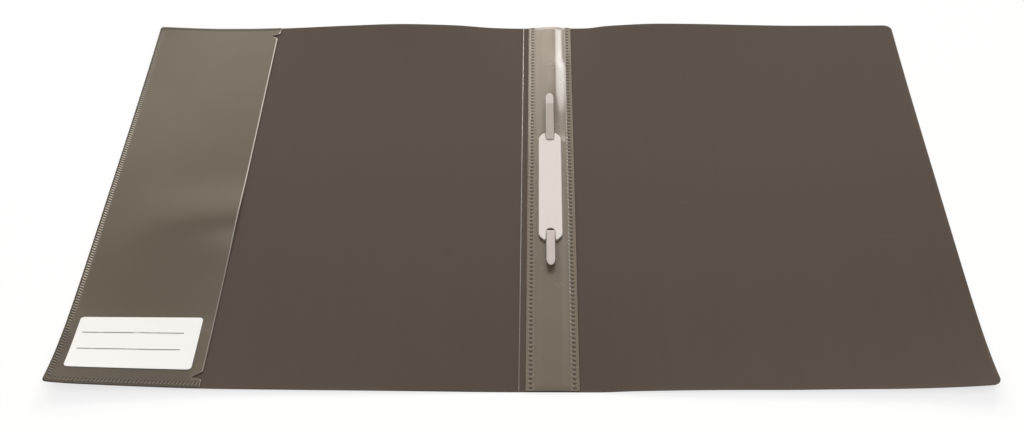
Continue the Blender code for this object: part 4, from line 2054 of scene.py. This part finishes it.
@dataclass
class CoverBar:
    """The moulded bar that slips over the tongues, with a slot open through each end.

    The mouth's and the slot's fillets are shares of the fillet along the bar's sides.
    """

    x: float
    low: Vector
    high: Vector
    slot_half: float = 2.5 * MM
    slot_flare: float = 0.2 * MM
    slot_end: float = 37.98 * MM
    mouth_round: float = 1.0 * MM
    fillet: float = 0.6 * MM
    mouth_fillet: float = 0.22
    slot_fillet: float = 0.25
    flat: float = 0.12 * MM
    undercut: float = 1.05 * MM
    slot_undercut: float = 1.4 * MM
    undercut_reach: float = 1.5
    undercut_side: float = 0.4 * MM
    near_extra: float = 2.7 * MM
    side_steps: int = 12
    mouth_steps: int = 5
    slot_steps: int = 4
    fillet_steps: int = 6
    arc_steps: int = 20

    def quarter(self, reach: float) -> list[Triple]:
        """Outline from the middle of the long side to the middle of the slot's round end.

        Args:
            reach: Distance of the bar's end from its middle.

        Returns:
            Places (x, y) with the share of the fillet there.
        """
        half = (self.high.x - self.low.x) / 2
        centre = reach - half
        points = [(half, y, 1.0) for y in spread(0.0, centre, self.side_steps)[:-1]]
        mouth = self.slot_half + self.slot_flare
        last = math.acos((mouth + self.mouth_round) / half)
        for turn in spread(0.0, last, self.arc_steps):
            share = 1.0 + (self.mouth_fillet - 1.0) * smooth(2.0 * turn / last - 1.0)
            points.append((half * math.cos(turn), centre + half * math.sin(turn), share))
        near = Vector(points[-1][:2])
        corner = Vector((mouth, centre + math.sqrt(half ** 2 - mouth ** 2)))
        far = corner - Vector((0.0, self.mouth_round))
        for share in spread(0.0, 1.0, self.mouth_steps)[1:]:
            spot = near.lerp(corner, share).lerp(corner.lerp(far, share), share)
            fillet = self.mouth_fillet + (self.slot_fillet - self.mouth_fillet) * share
            points.append((spot.x, spot.y, fillet))
        middle = self.slot_end + self.slot_half
        for share in spread(0.0, 1.0, self.slot_steps)[1:-1]:
            spot = far.lerp(Vector((self.slot_half, middle)), share)
            points.append((spot.x, spot.y, self.slot_fillet))
        for turn in spread(0.0, math.pi / 2, self.arc_steps // 2):
            y = middle - self.slot_half * math.sin(turn)
            points.append((self.slot_half * math.cos(turn), y, self.slot_fillet))
        return points

    def outline(self) -> list[Triple]:
        """The whole outline, anticlockwise.

        Returns:
            Places (x, y) with the share of the fillet there.
        """
        ends = []
        for way, reach in ((1, self.high.y), (-1, self.high.y + self.near_extra)):
            right = self.quarter(reach)
            end = right + [(-x, y, share) for x, y, share in reversed(right[:-1])]
            ends += [(way * x, way * y, share) for x, y, share in end[:-1]]
        return ends

    @staticmethod
    def inward(outline: Sequence[Triple], by: float) -> list[Point]:
        """Move an outline inward.

        Args:
            outline: Places with their share of the fillet, anticlockwise.
            by: Distance at a full fillet.

        Returns:
            The moved places.
        """
        moved = []
        for k, (x, y, share) in enumerate(outline):
            before, after = outline[k - 1], outline[(k + 1) % len(outline)]
            along = Vector((after[0] - before[0], after[1] - before[1])).normalized()
            moved.append((x - along.y * by * share, y + along.x * by * share))
        return moved

    def build(self) -> Piece:
        """Build the bar with rounded top edges.

        Returns:
            The piece.
        """
        outline = self.outline()
        levels = [(self.low.z, self.undercut, 0.0)]
        for turn in spread(0.0, math.pi / 2, self.fillet_steps):
            z = self.high.z - self.fillet + self.fillet * math.sin(turn)
            levels.append((z, self.fillet * (1 - math.cos(turn)), math.sin(2 * turn)))
        levels.append((self.high.z, self.fillet + self.flat, 0.0))
        layer = Layer(Mask.RIM)
        rings = []
        for z, by, worn in levels:
            ring = self.inward(outline, by)
            rings.append([layer.point(self.x + x, y, z, {Mask.RIM: worn}) for x, y in ring])
        for vert in rings[0]:
            inward = (vert.co.y + self.slot_end + self.slot_half) / self.slot_half
            aside = abs(vert.co.x - self.x) - self.slot_half
            if 0.0 < inward < self.undercut_reach and aside < self.undercut_side:
                vert.co.y += self.slot_undercut * smooth(inward)
        layer.tube(rings)
        layer.bm.faces.new(reversed(rings[0]))
        layer.bm.faces.new(rings[-1])
        return layer.closed("cover_bar_moulding")

    def dress(self, finishes: Finishes) -> Piece:
        """Build the bar and put it on its own body."""
        return placed(self.build(), Body.BAR, ["cover_bar"], finishes.bar)


@dataclass(frozen=True)
class Softbox:
    """One soft studio lamp that faces the folder.

    Its azimuth is in degrees from behind the folder toward its right.
    """

    name: str
    azimuth: float
    elevation: float
    distance: float
    width: float
    height: float
    radiance: float
    tint: Colour = (1.0, 1.0, 1.0)

    def build(self) -> Piece:
        """Hang the lamp.

        Returns:
            The lamp.
        """
        lamp = bpy.data.lights.new(self.name, "AREA")
        lamp.shape = "RECTANGLE"
        lamp.size = self.width
        lamp.size_y = self.height
        lamp.energy = self.radiance * math.pi * self.width * self.height
        lamp.color = self.tint
        a, e = math.radians(self.azimuth), math.radians(self.elevation)
        way = Vector((math.sin(a) * math.cos(e), math.cos(a) * math.cos(e), math.sin(e)))
        hung = bpy.data.objects.new(self.name, lamp)
        hung.location = way * self.distance
        hung.rotation_mode = "QUATERNION"
        hung.rotation_quaternion = (-way).to_track_quat("-Z", "Y")
        hung.visible_camera = False
        bpy.context.scene.collection.objects.link(hung)
        LOG.info("lamp %s", self.name)
        return hung


@dataclass
class Studio:
    """Pale floor, soft lamps and the camera at the photograph's angle."""

    floor_size: float = 6.0
    floor_drop: float = 0.05 * MM
    floor_tone: float = 0.85
    shown_tone: float = 0.32
    shown_glow: float = 0.72
    room: float = 0.42
    focal_pixels: float = 1442.408
    image_width: int = 1024
    sensor: float = 36.0
    clip_start: float = 0.01
    spot: Triple = (9.772 * MM, -623.616 * MM, 559.850 * MM)
    pitch: float = math.radians(43.188)
    roll: float = math.radians(-0.996)
    yaw: float = math.radians(-1.467)
    lamps: tuple[Softbox, ...] = (
        Softbox("overhead_soft", 180.0, 66.0, 1.6, 1.5, 1.2, 0.90),
        Softbox("left_panel_high", -23.0, 27.8, 5.0, 3.0, 2.45, 1.7, PANEL_TINT),
        Softbox("middle_panel_high", 2.0, 26.5, 5.0, 1.45, 2.22, 1.75, PANEL_TINT),
        Softbox("back_panel_low", -15.0, 26.2, 5.0, 4.66, 2.15, 1.3, PANEL_TINT),
        Softbox("right_softbox", 18.0, 33.8, 5.0, 0.98, 1.72, 9.1, (1.0, 0.975, 0.94)),
        Softbox("glint_spot", 20.9, 31.0, 5.0, 0.22, 0.22, 62.0, (1.0, 0.98, 0.95)),
        Softbox("key_left", -28.0, 52.0, 1.5, 0.30, 0.30, 6.0),
    )

    @staticmethod
    def shown(bench: Bench) -> Socket:
        """Tell the rays that show the background.

        Args:
            bench: Bench of the material or the world.

        Returns:
            1 for rays that the camera, a gloss or a clear film sees, else 0.
        """
        path = bench.add("ShaderNodeLightPath").outputs
        seen = bench.math("MAXIMUM", path["Is Camera Ray"], path["Is Glossy Ray"])
        return bench.math("MAXIMUM", seen, path["Is Transmission Ray"])

    def build_floor(self) -> Piece:
        """Lay the white floor, which keeps the folder's shadow.

        Returns:
            The floor.
        """
        bm = bmesh.new()
        bmesh.ops.create_grid(bm, x_segments=4, y_segments=4, size=self.floor_size / 2)
        floor = solid("studio_floor", bm)
        floor.location.z = -self.floor_drop
        bench, shader, made = blank("floor_white")
        made.node_tree.nodes.remove(shader)
        plain, pale = bench.add("ShaderNodeBsdfDiffuse"), bench.add("ShaderNodeBsdfDiffuse")
        for diffuse, tone in ((plain, self.floor_tone), (pale, self.shown_tone)):
            bench.fill(diffuse, Color=(tone, tone, tone))
        glow = bench.add("ShaderNodeEmission")
        bench.fill(glow, Strength=self.shown_glow)
        both, mix = bench.add("ShaderNodeAddShader"), bench.add("ShaderNodeMixShader")
        bench.chain(both, pale.outputs[0], glow.outputs[0])
        bench.chain(mix, self.shown(bench), plain.outputs[0], both.outputs[0])
        bench.fill(made.node_tree.nodes["Material Output"], Surface=mix.outputs[0])
        floor.data.materials.append(made)
        return floor

    def build_world(self) -> None:
        """Fill the room with even light and show it as white."""
        world = bpy.data.worlds.new("studio_room")
        bpy.context.scene.world = world
        world.use_nodes = True
        bench = Bench(world.node_tree)
        room = world.node_tree.nodes["Background"]
        white, mix = bench.add("ShaderNodeBackground"), bench.add("ShaderNodeMixShader")
        for light, strength in ((room, self.room), (white, 1.0)):
            bench.fill(light, Color=(1.0, 1.0, 1.0), Strength=strength)
        bench.chain(mix, self.shown(bench), room.outputs[0], white.outputs[0])
        bench.fill(world.node_tree.nodes["World Output"], Surface=mix.outputs[0])

    def build_camera(self) -> Piece:
        """Set up the camera at the photograph's place and angle.

        Returns:
            The camera.
        """
        lens = bpy.data.cameras.new("photo_camera")
        lens.sensor_fit = "HORIZONTAL"
        lens.sensor_width = self.sensor
        lens.lens = self.focal_pixels / self.image_width * self.sensor
        lens.clip_start = self.clip_start
        camera = bpy.data.objects.new("photo_camera", lens)
        bpy.context.scene.collection.objects.link(camera)
        ahead = Vector((
            math.sin(self.yaw) * math.cos(self.pitch),
            math.cos(self.yaw) * math.cos(self.pitch),
            -math.sin(self.pitch),
        ))
        level = Vector((math.cos(self.yaw), -math.sin(self.yaw), 0.0))
        upright = level.cross(ahead)
        right = math.cos(self.roll) * level + math.sin(self.roll) * upright
        up = math.cos(self.roll) * upright - math.sin(self.roll) * level
        turn = Matrix((right, up, -ahead)).transposed()
        camera.matrix_world = Matrix.Translation(self.spot) @ turn.to_4x4()
        bpy.context.scene.camera = camera
        return camera

    def build(self) -> None:
        """Build the whole studio."""
        bpy.context.scene.view_settings.view_transform = "Standard"
        self.build_floor()
        self.build_world()
        for lamp in self.lamps:
            lamp.build()
        self.build_camera()


def joint_spot(name: str) -> Vector:
    """A point on a joint's axis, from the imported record."""
    joint = next(j for j in frame["joints"] if j["name"] == name)
    return Vector(joint["pos_m"])


def main() -> None:
    """Build the studio and every piece of the folder."""
    logging.basicConfig(level=logging.INFO, format="%(name)s: %(message)s")
    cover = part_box("back_cover")[1]
    bow = SheetBow(width=cover.x, half_height=cover.y)
    Studio().build()
    sticker = Sticker(bow, *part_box("label"))
    finishes = Finishes(Effects(), sticker.finish())
    fold = SpineFold(half_length=bow.half_height)
    fold.dress(finishes)
    CoverHalf("back_cover_sheet", "back_cover", Body.BACK, 1, bow, fold.half_width).dress(finishes)
    CoverHalf(
        "front_cover_sheet", "front_cover", Body.FRONT, -1, bow, fold.half_width, corner=FRONT_CORNER
    ).dress(finishes)
    pocket_tool = SeamTool(
        pitch=1.96 * MM, depth=0.12 * MM, inset=2.0 * MM, half_floor=0.95 * MM, wall=0.2 * MM,
        band=4.0 * MM, lip=0.0, rim_fused=0.75, ridge_matt=0.8, wall_matt=1.0,
        tooth=((0.0, 0.0), (0.2, 0.0), (0.32, 1.0), (0.5, 1.0), (0.68, 1.0), (0.8, 0.0)),
    )
    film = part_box("fastener_film")
    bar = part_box("cover_bar")
    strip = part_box("tongue_strip")
    upper, lower = joint_spot("upper_tongue_fold"), joint_spot("lower_tongue_fold")
    FastenerFilm(
        left=film[0].x, right=film[1].x, half_length=bow.half_height - FILM_SHORT, bar_half=bar[1].y,
        slit_x=upper.x, slit_y=upper.y, tool=SeamTool(),
    ).dress(finishes)
    tab = -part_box("pocket_film")[1].x
    Pocket(bow, mouth=tab + MOUTH_BACK, tab=tab, tool=pocket_tool).dress(finishes)
    sticker.dress(finishes)
    FasteningStrip(upper.x, strip[0].z, strip[1].z - RISER_SHORT, upper.y).dress(finishes)
    far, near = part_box("upper_tongue")[1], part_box("lower_tongue")[0]
    Tongue(
        "upper_tongue_blade", "upper_tongue", Body.UPPER, upper, way=1, free=far.y - upper.y,
        tip=10.0 * MM, start=-1.45 * MM,
    ).dress(finishes)
    Tongue(
        "lower_tongue_blade", "lower_tongue", Body.LOWER, lower, way=-1, free=lower.y - near.y,
        tip=0.0, start=0.43 * MM, dip=0.3 * MM,
    ).dress(finishes)
    CoverBar(upper.x, *bar).dress(finishes)


if __name__ == "__main__":
    main()
